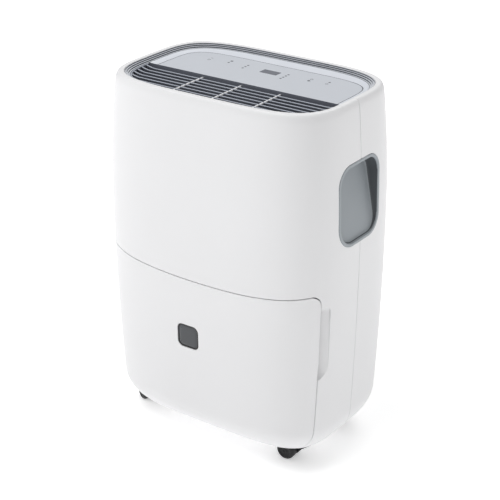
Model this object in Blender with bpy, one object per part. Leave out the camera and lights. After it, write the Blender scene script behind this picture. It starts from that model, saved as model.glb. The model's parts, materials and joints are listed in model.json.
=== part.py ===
"""A tall household dehumidifier on four swivel casters.

Frame: metres, +Z up, origin on the floor under the middle of the cabinet. The front, with the water
bucket, faces -Y, and the intake grille faces +Y. The cabinet's plan is a superellipse whose size changes
with height, so every outer part is cut from the same skin.
"""

import math

import bmesh
import bpy
from mathutils import Matrix, Vector

# Cabinet
WIDTH = 0.350
DEPTH = 0.238
HEIGHT = 0.510
BASE_Z = 0.024
PLAN_POWER = 4.1
PLAN_POINTS = 48
WIDEST_Z = 0.338
TAPER_LOW, TAPER_LOW_POWER = 0.0087, 2.09
TAPER_HIGH, TAPER_HIGH_POWER = 0.0084, 1.93
BOTTOM_ROUND_IN, BOTTOM_ROUND_UP = 0.0414, 0.0471
TOP_ROUND_IN, TOP_ROUND_DOWN = 0.0042, 0.0115
WALL = 0.0025
FIT = 0.0003
SEAM = 0.0010
SKIRT_Z = 0.0290
PAN_TOP_Z = 0.0340
LIP_IN = 0.0178
LIP_THICK = 0.003

# Top deck
DECK_Z = 0.501
GRILLE_BACK_Y = -0.0145
SLOT_PITCH = 0.0102
SLOT_COUNT = 7
RIB_X = (-0.061, 0.0, 0.061)
FRAME_IN = 0.0240
DISH_TOP_Z = 0.5038
OVERLAY_HALF_WIDTH, OVERLAY_BACK_Y, OVERLAY_POWER = 0.1405, 0.0783, 5.85
DISPLAY_X, DISPLAY_Y = 0.001, 0.0485

# Bucket
BUCKET_EDGE_Y = -0.077
SEAM_MID_Z, SEAM_RISE, SEAM_RISE_AT = 0.2595, 0.009, 0.140
BUCKET_CORNER_Z, BUCKET_CORNER_R = 0.2715, 0.014
WINDOW_X, WINDOW_Z, WINDOW_SIDE, WINDOW_R = -0.016, 0.175, 0.034, 0.008
TUB_HALF_WIDTH = 0.1445
TUB_BACK_Y = -0.004
TUB_LOW_Z, TUB_TOP_Z = 0.0465, 0.190
BAIL_Y, BAIL_Z, BAIL_REACH = -0.056, 0.1985, 0.040

# Side grips
GRIP_Y, GRIP_Z = (-0.051, 0.045), (0.3215, 0.4330)
GRIP_R, GRIP_FRONT_LOW_R, GRIP_RIM = 0.026, 0.033, 0.0045
GRIP_FLOOR_TOP_X, GRIP_FLOOR_SLOPE = 0.1507, 0.19

# Back
INTAKE_HALF_WIDTH, INTAKE_Z = 0.122, (0.262, 0.452)
DRAIN_X, DRAIN_Z = -0.090, 0.225

# Air path and cooling circuit
FAN_Z, FAN_R = 0.372, 0.060
SCROLL_Y = (-0.076, -0.018)
SCROLL_TIGHT, SCROLL_WIDE, SCROLL_TOP_Z = 0.067, 0.092, 0.4850
COMPRESSOR_X, COMPRESSOR_Y, COMPRESSOR_R = 0.060, 0.051, 0.041

# Casters
CASTER_X, CASTER_Y = 0.1285, (-0.0500, 0.0530)
CASTER_TRAIL = 0.0235
WHEEL_R, WHEEL_WIDTH, WEB_HALF = 0.0135, 0.0115, 0.0025
WELL_R, WELL_Z = 0.0406, 0.0287

COLOURS = {
    "cabinet_white": ((0.83, 0.83, 0.84), 0.35, 0.0),
    "panel_silver": ((0.62, 0.64, 0.68), 0.4, 0.1),
    "trim_grey": ((0.23, 0.25, 0.28), 0.45, 0.0),
    "grip_grey": ((0.34, 0.36, 0.38), 0.5, 0.0),
    "smoked_lens": ((0.10, 0.105, 0.11), 0.15, 0.0),
    "black_plastic": ((0.015, 0.015, 0.016), 0.4, 0.0),
    "tub_clear": ((0.62, 0.68, 0.72), 0.25, 0.0),
    "galvanised": ((0.55, 0.56, 0.58), 0.4, 0.9),
    "compressor_black": ((0.03, 0.03, 0.035), 0.45, 0.2),
    "copper": ((0.72, 0.38, 0.22), 0.35, 1.0),
    "aluminium_fin": ((0.72, 0.74, 0.76), 0.4, 0.9),
    "board_green": ((0.05, 0.22, 0.10), 0.5, 0.0),
    "filter_grey": ((0.20, 0.21, 0.23), 0.8, 0.0),
    "rubber": ((0.03, 0.03, 0.03), 0.8, 0.0),
    "float_white": ((0.85, 0.85, 0.83), 0.7, 0.0),
    "steel": ((0.6, 0.6, 0.62), 0.3, 1.0),
}


# ---------------------------------------------------------------- helpers


def material(slot):
    found = bpy.data.materials.get(slot)
    if found:
        return found
    colour, roughness, metallic = COLOURS[slot]
    made = bpy.data.materials.new(slot)
    made.use_nodes = True
    shader = made.node_tree.nodes["Principled BSDF"]
    shader.inputs["Base Color"].default_value = (*colour, 1.0)
    shader.inputs["Roughness"].default_value = roughness
    shader.inputs["Metallic"].default_value = metallic
    made.diffuse_color = (*colour, 1.0)
    return made


def make_object(name, mesh_data, slot=None):
    """An object from a bmesh; one with no slot is a cutter, which isn't part of the product."""
    bmesh.ops.recalc_face_normals(mesh_data, faces=mesh_data.faces)
    mesh = bpy.data.meshes.new(name)
    mesh_data.to_mesh(mesh)
    mesh_data.free()
    obj = bpy.data.objects.new(name, mesh)
    bpy.context.scene.collection.objects.link(obj)
    if slot is None:
        obj.hide_render = True
        obj.display_type = "WIRE"
    else:
        mesh.materials.append(material(slot))
        mesh.shade_smooth()
        mesh.set_sharp_from_angle(angle=math.radians(30))
    return obj


def boolean(target, operation, other):
    modifier = target.modifiers.new(other.name, "BOOLEAN")
    modifier.operation = operation
    modifier.solver = "EXACT"
    modifier.object = other
    return target


def cut(target, *cutters):
    for cutter in cutters:
        boolean(target, "DIFFERENCE", cutter)
    return target


def keep(target, *regions):
    for region in regions:
        boolean(target, "INTERSECT", region)
    return target


def join(target, *others):
    for other in others:
        boolean(target, "UNION", other)
    return target


def loft(name, rings, slot=None):
    """A closed solid through rings that all have the same number of points."""
    work = bmesh.new()
    rows = [[work.verts.new(point) for point in ring] for ring in rings]
    for low, high in zip(rows, rows[1:]):
        for i in range(len(low)):
            j = (i + 1) % len(low)
            work.faces.new((low[i], low[j], high[j], high[i]))
    work.faces.new(rows[0])
    work.faces.new(rows[-1])
    return make_object(name, work, slot)


def hoop(name, sections, slot=None):
    """A closed ring: every section is a closed loop of points, and the last joins the first."""
    work = bmesh.new()
    rows = [[work.verts.new(point) for point in section] for section in sections]
    for k, row in enumerate(rows):
        following = rows[(k + 1) % len(rows)]
        for i in range(len(row)):
            j = (i + 1) % len(row)
            work.faces.new((row[i], row[j], following[j], following[i]))
    return make_object(name, work, slot)


AXES = {"X": (1, 2, 0), "Y": (0, 2, 1), "Z": (0, 1, 2)}


def prism(name, outline, axis, low, high, slot=None):
    """An outline in the plane across an axis, such as (x, z) for Y, extruded from low to high."""
    first, second, along = AXES[axis]
    rings = []
    for level in (low, high):
        ring = []
        for u, v in outline:
            point = [0.0, 0.0, 0.0]
            point[first], point[second], point[along] = u, v, level
            ring.append(point)
        rings.append(ring)
    return loft(name, rings, slot)


def box(name, x, y, z, slot=None):
    return prism(name, [(x[0], y[0]), (x[1], y[0]), (x[1], y[1]), (x[0], y[1])], "Z", z[0], z[1], slot)


def circle(centre, radius, points=16, start=0.0, turn=math.tau):
    steps = points if abs(turn) > 6.28 else points - 1
    return [
        (
            centre[0] + radius * math.cos(start + turn * k / steps),
            centre[1] + radius * math.sin(start + turn * k / steps),
        )
        for k in range(points)
    ]


def cylinder(name, centre, radius, axis, low, high, slot=None, points=16):
    return prism(name, circle(centre, radius, points), axis, low, high, slot)


def rounded_box(u, v, radius, arc_points=5):
    """The outline of a rectangle from u[0] to u[1] and v[0] to v[1], with round corners."""
    corners = (
        (u[1] - radius, v[1] - radius, 0.0),
        (u[0] + radius, v[1] - radius, 0.5 * math.pi),
        (u[0] + radius, v[0] + radius, math.pi),
        (u[1] - radius, v[0] + radius, 1.5 * math.pi),
    )
    outline = []
    for cu, cv, start in corners:
        outline += circle((cu, cv), radius, arc_points, start, 0.5 * math.pi)
    return outline


def tube(name, route, radius, slot):
    """A round pipe on a smooth curve through the route's points."""
    points = [Vector(p) for p in route]
    ends = [2 * points[0] - points[1], *points, 2 * points[-1] - points[-2]]
    smooth = []
    for a, b, c, d in zip(ends, ends[1:], ends[2:], ends[3:]):
        for step in range(4):
            t = step / 4
            smooth.append(
                0.5 * ((2 * b) + (c - a) * t + (2 * a - 5 * b + 4 * c - d) * t**2 + (3 * b - a - 3 * c + d) * t**3)
            )
    smooth.append(points[-1])
    curve = bpy.data.curves.new(name, "CURVE")
    curve.dimensions = "3D"
    curve.bevel_depth = radius
    curve.bevel_resolution = 2
    curve.use_fill_caps = True
    spline = curve.splines.new("POLY")
    spline.points.add(len(smooth) - 1)
    for place, point in zip(spline.points, smooth):
        place.co = (*point, 1.0)
    curve.materials.append(material(slot))
    obj = bpy.data.objects.new(name, curve)
    bpy.context.scene.collection.objects.link(obj)
    return obj


def empty(name, location, turn=0.0):
    obj = bpy.data.objects.new(name, None)
    obj.location = location
    obj.rotation_euler = (0.0, 0.0, turn)
    bpy.context.scene.collection.objects.link(obj)
    return obj


def hang_on(pivot, *objects):
    """Parents pieces modelled in world space to the empty on their joint's axis, leaving them in place."""
    bpy.context.view_layer.update()
    for obj in objects:
        obj.parent = pivot
        obj.matrix_parent_inverse = pivot.matrix_world.inverted()


# ---------------------------------------------------------------- the cabinet's skin


def quarter(share):
    """0 at the end of a rounded edge's flat side, growing to 1 at its tip, as a quarter circle does."""
    share = min(max(share, 0.0), 1.0)
    return 1.0 - math.sqrt(1.0 - (1.0 - share) ** 2)


def inset(z):
    """How far the skin lies inside the widest plan at this height."""
    if z < WIDEST_Z:
        taper = TAPER_LOW * ((WIDEST_Z - z) / (WIDEST_Z - BASE_Z)) ** TAPER_LOW_POWER
    else:
        taper = TAPER_HIGH * ((z - WIDEST_Z) / (HEIGHT - WIDEST_Z)) ** TAPER_HIGH_POWER
    bottom = BOTTOM_ROUND_IN * quarter((z - BASE_Z) / BOTTOM_ROUND_UP)
    top = TOP_ROUND_IN * quarter((HEIGHT - z) / TOP_ROUND_DOWN)
    return taper + bottom + top


def plan(inward, points=PLAN_POINTS):
    """The cabinet's plan outline, moved inward from its widest size."""
    half_width, half_depth = WIDTH / 2 - inward, DEPTH / 2 - inward
    outline = []
    for k in range(points):
        angle = math.tau * (k + 0.5) / points
        c, s = math.cos(angle), math.sin(angle)
        x = math.copysign(half_width * abs(c) ** (2 / PLAN_POWER), c)
        y = math.copysign(half_depth * abs(s) ** (2 / PLAN_POWER), s)
        outline.append((x, y))
    return outline


def plan_ring(inward, z):
    return [(x, y, z) for x, y in plan(inward)]


def skin_levels(low, high):
    round_top = BASE_Z + BOTTOM_ROUND_UP
    shoulder = HEIGHT - TOP_ROUND_DOWN
    levels = [BASE_Z + BOTTOM_ROUND_UP * (1 - math.cos(math.pi / 2 * k / 5)) for k in range(6)]
    levels += [round_top + (shoulder - round_top) * k / 6 for k in range(1, 7)]
    levels += [HEIGHT - TOP_ROUND_DOWN * (1 - math.sin(math.pi / 2 * k / 3)) for k in range(1, 4)]
    return [low] + [z for z in levels if low + 0.001 < z < high - 0.001] + [high]


def skin_solid(name, inward, low, high, slot=None):
    """The space inside the skin moved inward, between two heights."""
    return loft(name, [plan_ring(inset(z) + inward, z) for z in skin_levels(low, high)], slot)


def skin_y(x, z, inward=0.0):
    """How far the skin stands from the XZ plane at this place."""
    half_width = WIDTH / 2 - inset(z) - inward
    half_depth = DEPTH / 2 - inset(z) - inward
    return half_depth * (1 - abs(x / half_width) ** PLAN_POWER) ** (1 / PLAN_POWER)


def seam_z(x):
    return SEAM_MID_Z + SEAM_RISE * (x / SEAM_RISE_AT) ** 2


def bucket_zone(name, grow):
    """The space that the bucket's front takes: under the curved seam and forward of its side edges."""
    reach = 0.20
    across = [reach * (k / 10 - 1) for k in range(21)]
    outline = [(x, seam_z(x) + grow) for x in across]
    outline += [(reach, SKIRT_Z - grow), (-reach, SKIRT_Z - grow)]
    zone = prism(name, outline, "Y", -reach, BUCKET_EDGE_Y + 0.03)
    edge, top = BUCKET_EDGE_Y + grow, BUCKET_CORNER_Z + grow
    side = [(-0.3, 0.0), (edge, 0.0)]
    side += circle((edge - BUCKET_CORNER_R, top - BUCKET_CORNER_R), BUCKET_CORNER_R, 6, 0.0, math.pi / 2)
    side += [(-0.3, top)]
    return keep(zone, prism(name + "_side", side, "X", -0.3, 0.3))


def grip_outline(shrink):
    """A rectangle with round corners, the lower front one rounder than the rest."""
    outline = []
    corners = ((1, 1, GRIP_R), (0, 1, GRIP_R), (0, 0, GRIP_FRONT_LOW_R), (1, 0, GRIP_R))
    for quarter_turn, (back, top, radius) in enumerate(corners):
        centre = (
            GRIP_Y[back] + (-radius if back else radius),
            GRIP_Z[top] + (-radius if top else radius),
        )
        outline += circle(centre, radius - shrink, 6, quarter_turn * math.pi / 2, math.pi / 2)
    return outline


def grip_floor_x(z, back=0.0):
    return GRIP_FLOOR_TOP_X - back + GRIP_FLOOR_SLOPE * (GRIP_Z[1] - z)


def grip_space(name, shrink, back, mirror, open_x):
    """The hollow of a side grip: its floor slopes outward towards the bottom."""
    outline = grip_outline(shrink)
    inner = [(mirror * grip_floor_x(z, back), y, z) for y, z in outline]
    outer = [(mirror * open_x, y, z) for y, z in outline]
    return loft(name, [inner, outer])


# ---------------------------------------------------------------- cabinet parts


def cabinet_half(name, low_y, high_y, cutters):
    shell = skin_solid(name, 0.0, SKIRT_Z, HEIGHT, "cabinet_white")
    hollow = skin_solid(name + "_hollow", WALL, SKIRT_Z - 0.004, HEIGHT - LIP_THICK)
    half = box(name + "_half", (-0.3, 0.3), (low_y, high_y), (-0.1, 0.7))
    mouth = prism(name + "_mouth", plan(LIP_IN), "Z", HEIGHT - 0.02, HEIGHT + 0.02)
    return cut(keep(cut(shell, hollow, mouth), half), *cutters)


def finger_scoop(side):
    """(block, hollow) of the hollow beside the bucket's edge, which the front cover wraps round."""
    z, radius = (0.147, 0.253), 0.011
    block_side = sorted((side * 0.1565, side * 0.1655))
    hollow_side = sorted((side * 0.1595, side * 0.20))
    block = box(f"scoop_block_{side}", block_side, (BUCKET_EDGE_Y - 0.004, -0.0605), (z[0] - 0.003, z[1] + 0.003))
    outline = rounded_box((-0.12, -0.0635), z, radius, 5)
    return block, prism(f"scoop_hollow_{side}", outline, "X", hollow_side[0], hollow_side[1])


def cabinet():
    grips = [
        prism(f"grip_hole_{side}", grip_outline(-FIT), "X", *sorted((side * 0.14, side * 0.2)))
        for side in (-1, 1)
    ]
    front = cabinet_half("front_cover", -0.3, -FIT, grips)
    for side in (-1, 1):
        block, hollow = finger_scoop(side)
        cut(join(front, block), hollow)
    cut(front, bucket_zone("front_bucket_gap", SEAM))
    opening = prism(
        "intake_hole",
        rounded_box((-INTAKE_HALF_WIDTH, INTAKE_HALF_WIDTH), INTAKE_Z, 0.012, 4),
        "Y",
        0.08,
        0.2,
    )
    drain_hole = cylinder("drain_hole", (DRAIN_X, DRAIN_Z), 0.0085, "Y", 0.09, 0.2)
    gland_hole = cylinder("gland_hole", (0.105, 0.085), 0.0068, "Y", 0.08, 0.2)
    screw_holes = [
        cylinder(f"screw_hole_{k}", place, 0.0024, "Y", 0.08, 0.2, points=8) for k, place in enumerate(SCREWS)
    ]
    rear = cabinet_half("rear_cover", FIT, 0.3, [*grips, opening, drain_hole, gland_hole, *screw_holes])
    return front, rear


SCREWS = ((-0.110, 0.105), (0.110, 0.480), (-0.110, 0.480))
SCREW_HEAD_R = 0.0042


def rear_screws():
    for k, (x, z) in enumerate(SCREWS, 1):
        toward_middle = math.copysign(SCREW_HEAD_R, WIDEST_Z - z)
        seat = skin_y(abs(x) - SCREW_HEAD_R, z + toward_middle) + FIT
        head = cylinder(f"rear_screw_{k}", (x, z), SCREW_HEAD_R, "Y", seat, seat + 0.002, "steel", 12)
        shank = cylinder(f"rear_screw_{k}_shank", (x, z), 0.0019, "Y", seat - 0.011, seat + 0.001, points=8)
        join(head, shank)


def base():
    """The machine's floor: it closes the skin below the covers, and a well in it clears each caster's swing."""
    pan = skin_solid("base_pan", 0.0, BASE_Z, SKIRT_Z - 0.0008, "cabinet_white")
    join(pan, skin_solid("pan_inside", WALL + 0.0008, BASE_Z + 0.002, PAN_TOP_Z))
    for k, place in enumerate(caster_places()):
        well = cylinder(f"well_{k}", place, WELL_R, "Z", BASE_Z - 0.01, WELL_Z, points=24)
        boss = cylinder(f"boss_{k}", place, 0.0075, "Z", PAN_TOP_Z - 0.0006, 0.0450)
        socket = cylinder(f"socket_{k}", place, 0.0043, "Z", BASE_Z, 0.0430)
        cut(join(cut(pan, well), boss), socket)
    return pan


def side_grip(side):
    word = "right" if side > 0 else "left"
    flange_x = sorted((side * 0.1665, side * 0.19))
    flange = prism(f"handle_cup_{word}", grip_outline(0.0), "X", *flange_x, "grip_grey")
    keep(flange, skin_solid(f"grip_skin_{word}", -0.0006, 0.28, 0.46))
    shell = grip_space(f"grip_shell_{word}", GRIP_RIM - 0.002, 0.002, side, 0.1695)
    hollow = grip_space(f"grip_hollow_{word}", GRIP_RIM, 0.0, side, 0.2)
    return cut(join(flange, shell), hollow)


# ---------------------------------------------------------------- top deck


def top_frame():
    """The grey ring inside the lip, stepped down to the deck's raised edge like three stair treads."""
    steps = (
        (LIP_IN + FIT, HEIGHT - 0.0008),
        (0.0186, HEIGHT - 0.0008),
        (0.0186, HEIGHT - 0.0024),
        (0.0204, HEIGHT - 0.0024),
        (0.0204, HEIGHT - 0.0042),
        (0.0222, HEIGHT - 0.0042),
        (0.0222, HEIGHT - 0.0060),
        (FRAME_IN, HEIGHT - 0.0060),
        (FRAME_IN, DECK_Z - 0.004),
        (LIP_IN + FIT, DECK_Z - 0.004),
    )
    around = [plan(inward) for inward, _ in steps]
    sections = [
        [(*around[i][k], steps[i][1]) for i in range(len(steps))] for k in range(PLAN_POINTS)
    ]
    return hoop("top_frame", sections, "trim_grey")


def deck_piece(name, low_y, high_y, low_z, high_z, slot, inward=FRAME_IN + FIT):
    piece = prism(name, plan(inward), "Z", low_z, high_z, slot)
    return keep(piece, box(name + "_region", (-0.3, 0.3), (low_y, high_y), (0.3, 0.7)))


def outlet_grille():
    """Slats along the width, each leaning forward, in a thin frame that follows the cabinet's plan."""
    grille = deck_piece("outlet_grille", -0.2, GRILLE_BACK_Y, DECK_Z - 0.009, DECK_Z - 0.0006, "trim_grey")
    back = GRILLE_BACK_Y - 0.0015
    hole = prism("grille_hole", plan(FRAME_IN + FIT + 0.0018), "Z", 0.4, 0.6)
    keep(hole, box("grille_hole_region", (-0.3, 0.3), (-0.2, back), (0.3, 0.7)))
    cut(grille, hole)
    for k in range(SLOT_COUNT - 1):
        y = back - SLOT_PITCH * (k + 1) + 0.001
        lean, thick, low, high = 0.0030, 0.0020, DECK_Z - 0.0086, DECK_Z - 0.0009
        outline = [(y + lean, low), (y + lean + thick, low), (y + thick, high), (y, high)]
        slat = prism(f"slat_{k}", outline, "X", -0.16, 0.16)
        keep(slat, prism(f"slat_reach_{k}", plan(FRAME_IN + 0.0011), "Z", 0.4, 0.6))
        join(grille, slat)
    for k, x in enumerate(RIB_X):
        notch = box(f"rib_notch_{k}", (x - 0.0013, x + 0.0013), (-0.2, 0.0), (DECK_Z - 0.0022, 0.6))
        cut(grille, notch)
    return grille


def grille_ribs():
    """Three light bars across the slats, joined by a strip under the control panel's front edge."""
    comb = box("grille_ribs", (-0.070, 0.070), (GRILLE_BACK_Y + 0.002, 0.0), (0.4955, 0.4970), "panel_silver")
    for k, x in enumerate(RIB_X):
        reach = -(DEPTH / 2 - FRAME_IN) + 0.0035
        bar = box(f"rib_{k}", (x - 0.0010, x + 0.0010), (reach, -0.002), (DECK_Z - 0.0019, DECK_Z))
        drop = box(f"rib_drop_{k}", (x - 0.0010, x + 0.0010), (GRILLE_BACK_Y + 0.0025, -0.002), (0.496, DECK_Z - 0.001))
        join(comb, bar, drop)
    return comb


def overlay_around(grow):
    """The overlay's outline as if it went on round the front as well."""
    outline = []
    for k in range(PLAN_POINTS):
        angle = math.tau * (k + 0.5) / PLAN_POINTS
        c, s = math.cos(angle), math.sin(angle)
        x = math.copysign((OVERLAY_HALF_WIDTH + grow) * abs(c) ** (2 / OVERLAY_POWER), c)
        y = math.copysign((OVERLAY_BACK_Y + grow) * abs(s) ** (2 / OVERLAY_POWER), s)
        outline.append((x, y))
    return outline


def overlay_prism(name, shrink, low, high, slot=None):
    piece = prism(name, overlay_around(-shrink), "Z", low, high, slot)
    front = GRILLE_BACK_Y + 0.0015 + shrink
    return keep(piece, box(name + "_region", (-0.3, 0.3), (front, 0.3), (0.3, 0.7)))


def control_panel():
    panel = deck_piece("control_panel", GRILLE_BACK_Y + FIT, 0.2, DECK_Z - 0.003, DISH_TOP_Z, "panel_silver")
    dish_rings = [
        [(x, y, DECK_Z) for x, y in overlay_around(0.0012)],
        [(x, y, DISH_TOP_Z + 0.0002) for x, y in plan(FRAME_IN - 0.0005)],
        [(x, y, HEIGHT) for x, y in plan(FRAME_IN - 0.0005)],
    ]
    cut(panel, loft("dish", dish_rings))
    tray = overlay_prism("overlay_tray", -FIT, DECK_Z - 0.0011, DECK_Z + 0.01)
    lens_hole = box("lens_hole", *display_box(0.0006), (0.4, 0.6))
    slots = [
        box(f"rib_slot_{k}", (x - 0.0014, x + 0.0014), (-0.2, -0.0015), (0.4, 0.6)) for k, x in enumerate(RIB_X)
    ]
    cut(panel, tray, lens_hole, *slots)
    overlay = overlay_prism("panel_overlay", 0.0, DECK_Z - 0.0008, DECK_Z + 0.0001, "panel_silver")
    cut(overlay, box("overlay_lens_hole", *display_box(FIT), (0.4, 0.6)), *slots)
    box("display_lens", *display_box(0.0), (DECK_Z - 0.006, DECK_Z + 0.0001), "smoked_lens")
    board = box("circuit_board", (-0.105, 0.105), (0.024, 0.070), (0.4915, 0.4931), "board_green")
    for k, x in enumerate((-0.098, -0.068, -0.038, 0.028, 0.061, 0.088)):
        pad = cylinder(f"touch_spring_{k}", (x, 0.050), 0.004, "Z", 0.4925, 0.4975, points=8)
        join(board, pad)
    return panel


def display_box(grow):
    return (
        (DISPLAY_X - 0.0132 - grow, DISPLAY_X + 0.0132 + grow),
        (DISPLAY_Y - 0.0068 - grow, DISPLAY_Y + 0.0068 + grow),
    )


# ---------------------------------------------------------------- bucket


def bucket():
    front = skin_solid("bucket_front", 0.0, SKIRT_Z, 0.30, "cabinet_white")
    cut(front, skin_solid("bucket_front_hollow", WALL, SKIRT_Z - 0.004, 0.32))
    keep(front, bucket_zone("bucket_front_zone", 0.0))
    span = (-WINDOW_SIDE / 2, WINDOW_SIDE / 2)
    u = (WINDOW_X + span[0], WINDOW_X + span[1])
    v = (WINDOW_Z + span[0], WINDOW_Z + span[1])
    hole = prism(
        "window_hole",
        rounded_box((u[0] - FIT, u[1] + FIT), (v[0] - FIT, v[1] + FIT), WINDOW_R + FIT),
        "Y",
        -0.2,
        -0.1,
    )
    cut(front, hole)
    lens = skin_solid("water_window", 0.0004, 0.14, 0.21, "smoked_lens")
    cut(lens, skin_solid("window_back", WALL, 0.13, 0.22))
    keep(lens, prism("window_shape", rounded_box(u, v, WINDOW_R), "Y", -0.2, -0.1))

    tub = skin_solid("bucket_tub", WALL + 0.0008, TUB_LOW_Z, TUB_TOP_Z, "tub_clear")
    keep(tub, tub_region("tub_region", 0.0, 0.0, 0.3))
    water = skin_solid("tub_water", WALL + 0.003, TUB_LOW_Z + 0.002, TUB_TOP_Z + 0.02)
    keep(water, tub_region("water_region", 0.0022, 0.0, 0.3))
    cut(tub, water)

    lid = skin_solid("bucket_lid", WALL + 0.0012, TUB_TOP_Z + FIT, TUB_TOP_Z + 0.0028, "cabinet_white")
    keep(lid, tub_region("lid_region", 0.0004, 0.0, 0.3))
    pour = prism("lid_pour", rounded_box((-0.045, 0.045), (-0.042, -0.014), 0.008), "Z", 0.1, 0.3)
    cut(lid, pour)

    bail()
    float_lever()
    return front, tub


def tub_region(name, shrink, low, high):
    half, back = TUB_HALF_WIDTH - shrink, TUB_BACK_Y - shrink
    outline = [(-half, -0.2), (half, -0.2)]
    outline += circle((half - 0.012, back - 0.012), 0.012, 4, 0.0, math.pi / 2)
    outline += circle((-half + 0.012, back - 0.012), 0.012, 4, math.pi / 2, math.pi / 2)
    return prism(name, outline, "Z", low, high)


def bail():
    """The carrying handle, folded back onto the lid; its ears stand on the lid's edges."""
    half, width = 0.118, 0.007
    low, high = BAIL_Z - 0.002, BAIL_Z + 0.002
    handle = box("bucket_handle", (-half, half), (BAIL_Y + BAIL_REACH - 0.010, BAIL_Y + BAIL_REACH), (low, high), "grip_grey")
    for side in (-1, 1):
        arm_x = sorted((side * (half - width), side * half))
        arm = box(f"bail_arm_{side}", arm_x, (BAIL_Y - 0.004, BAIL_Y + BAIL_REACH - 0.004), (low, high))
        pin_x = sorted((side * (half - 0.002), side * (half + 0.0085)))
        pin = cylinder(f"bail_pin_{side}", (BAIL_Y, BAIL_Z), 0.0017, "X", *pin_x, points=10)
        join(handle, arm, pin)
        ear_x = sorted((side * (half + 0.0008), side * (half + 0.0048)))
        word = "right" if side > 0 else "left"
        ear = box(f"handle_ear_{word}", ear_x, (BAIL_Y - 0.006, BAIL_Y + 0.006), (TUB_TOP_Z + 0.0031, BAIL_Z + 0.005), "cabinet_white")
        cut(ear, cylinder(f"ear_bore_{side}", (BAIL_Y, BAIL_Z), 0.0021, "X", -0.2, 0.2, points=10))
    pivot = empty("bail_axis", (0.0, BAIL_Y, BAIL_Z))
    hang_on(pivot, handle)


def float_lever():
    """The float swings on two pins in a bracket on the tub's back wall."""
    x, y, z = FLOAT_AXIS
    bracket = box("float_bracket", (x - 0.014, x + 0.014), (TUB_BACK_Y - 0.0105, TUB_BACK_Y - 0.0025), (z - 0.006, z + 0.006), "cabinet_white")
    gap = box("float_gap", (x - 0.010, x + 0.010), (TUB_BACK_Y - 0.02, TUB_BACK_Y - 0.0045), (z - 0.01, z + 0.01))
    cut(bracket, gap, cylinder("float_bore", (y, z), 0.0016, "X", x - 0.02, x + 0.02, points=10))
    block = box("float_lever", (x - 0.020, x + 0.020), (y - 0.062, y - 0.030), (z - 0.034, z - 0.012), "float_white")
    arm = prism("float_arm", [(y - 0.036, z - 0.016), (y - 0.032, z - 0.020), (y + 0.0015, z - 0.002), (y + 0.0015, z + 0.002), (y - 0.002, z + 0.002)], "X", x - 0.0085, x + 0.0085)
    pin = cylinder("float_pin", (y, z), 0.0012, "X", x - 0.0135, x + 0.0135, points=10)
    join(block, arm, pin)
    hang_on(empty("float_axis", FLOAT_AXIS), block)


FLOAT_AXIS = (0.095, -0.0112, 0.170)


# ---------------------------------------------------------------- machine inside


def divider():
    """The wall between the bucket's bay and the compressor."""
    wall = skin_solid("tank_divider", WALL + 0.0008, PAN_TOP_Z + FIT, 0.2430, "galvanised")
    return keep(wall, box("divider_region", (-0.3, 0.3), (0.0015, 0.0035), (0.0, 0.6)))


def drip_tray():
    tray = box("drip_tray", (-0.122, 0.108), (-0.050, 0.102), (0.2440, 0.2600), "cabinet_white")
    cut(tray, box("tray_hollow", (-0.1195, 0.1055), (-0.0475, 0.0995), (0.2460, 0.28)))
    spout = cylinder("tray_spout", (0.0, -0.028), 0.0060, "Z", 0.2340, 0.2450, points=12)
    drain = cylinder("tray_drain", (0.0, -0.028), 0.0040, "Z", 0.22, 0.25, points=12)
    return cut(join(tray, spout), drain)


def compressor():
    turned = []
    for share, up in ((0.55, 0.0), (0.88, 0.006), (1.0, 0.018), (1.0, 0.104), (0.88, 0.118), (0.55, 0.125)):
        ring = circle((COMPRESSOR_X, COMPRESSOR_Y), share * COMPRESSOR_R, 20)
        turned.append([(x, y, 0.046 + up) for x, y in ring])
    body = loft("compressor", turned, "compressor_black")
    plate = prism("compressor_plate", [(COMPRESSOR_X + 0.046 * math.cos(a), COMPRESSOR_Y + 0.046 * math.sin(a)) for a in (math.radians(30 + 120 * k + d) for k in range(3) for d in (-12, 12))], "Z", 0.0475, 0.0505)
    join(body, plate)
    for k, (x, y) in enumerate(compressor_feet(), 1):
        cylinder(f"compressor_foot_{k}", (x, y), 0.0070, "Z", PAN_TOP_Z + FIT, 0.0472, "rubber", 12)
    return body


def compressor_feet():
    for k in range(3):
        angle = math.radians(30 + 120 * k)
        yield COMPRESSOR_X + 0.036 * math.cos(angle), COMPRESSOR_Y + 0.036 * math.sin(angle)


def finned_coil(name, y, slot_count=18):
    """A coil as a block of tall fins that share a core, with its header plates at both ends."""
    x, z, core = (-0.116, 0.100), (0.2625, 0.4450), 0.0045
    pitch = (x[1] - x[0]) / slot_count
    front = []
    for k in range(slot_count):
        left = x[0] + pitch * k
        front += [(left, y[0]), (left + 0.4 * pitch, y[0]), (left + 0.4 * pitch, y[1] - core), (left + pitch, y[1] - core)]
    front[-1] = (x[1] - 0.002, y[1] - core)
    front += [(x[1] - 0.002, y[0]), (x[1], y[0]), (x[1], y[1]), (x[0], y[1])]
    return prism(name, front, "Z", z[0], z[1], "aluminium_fin")


def pipes():
    top = (COMPRESSOR_X, COMPRESSOR_Y)
    tube(
        "suction_pipe",
        [(top[0] + 0.012, top[1], 0.1715), (top[0] + 0.012, top[1], 0.200), (0.100, 0.066, 0.215), (0.1145, 0.083, 0.232), (0.1150, 0.0835, 0.262), (0.1150, 0.083, 0.300), (0.1130, 0.083, 0.318), (0.1030, 0.083, 0.327)],
        0.0035,
        "copper",
    )
    tube(
        "discharge_pipe",
        [(top[0] - 0.012, top[1] - 0.006, 0.1715), (top[0] - 0.010, top[1] - 0.010, 0.205), (0.085, 0.050, 0.222), (0.1150, 0.050, 0.234), (0.1160, 0.051, 0.262), (0.1155, 0.051, 0.285), (0.1030, 0.052, 0.299)],
        0.0028,
        "copper",
    )


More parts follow.
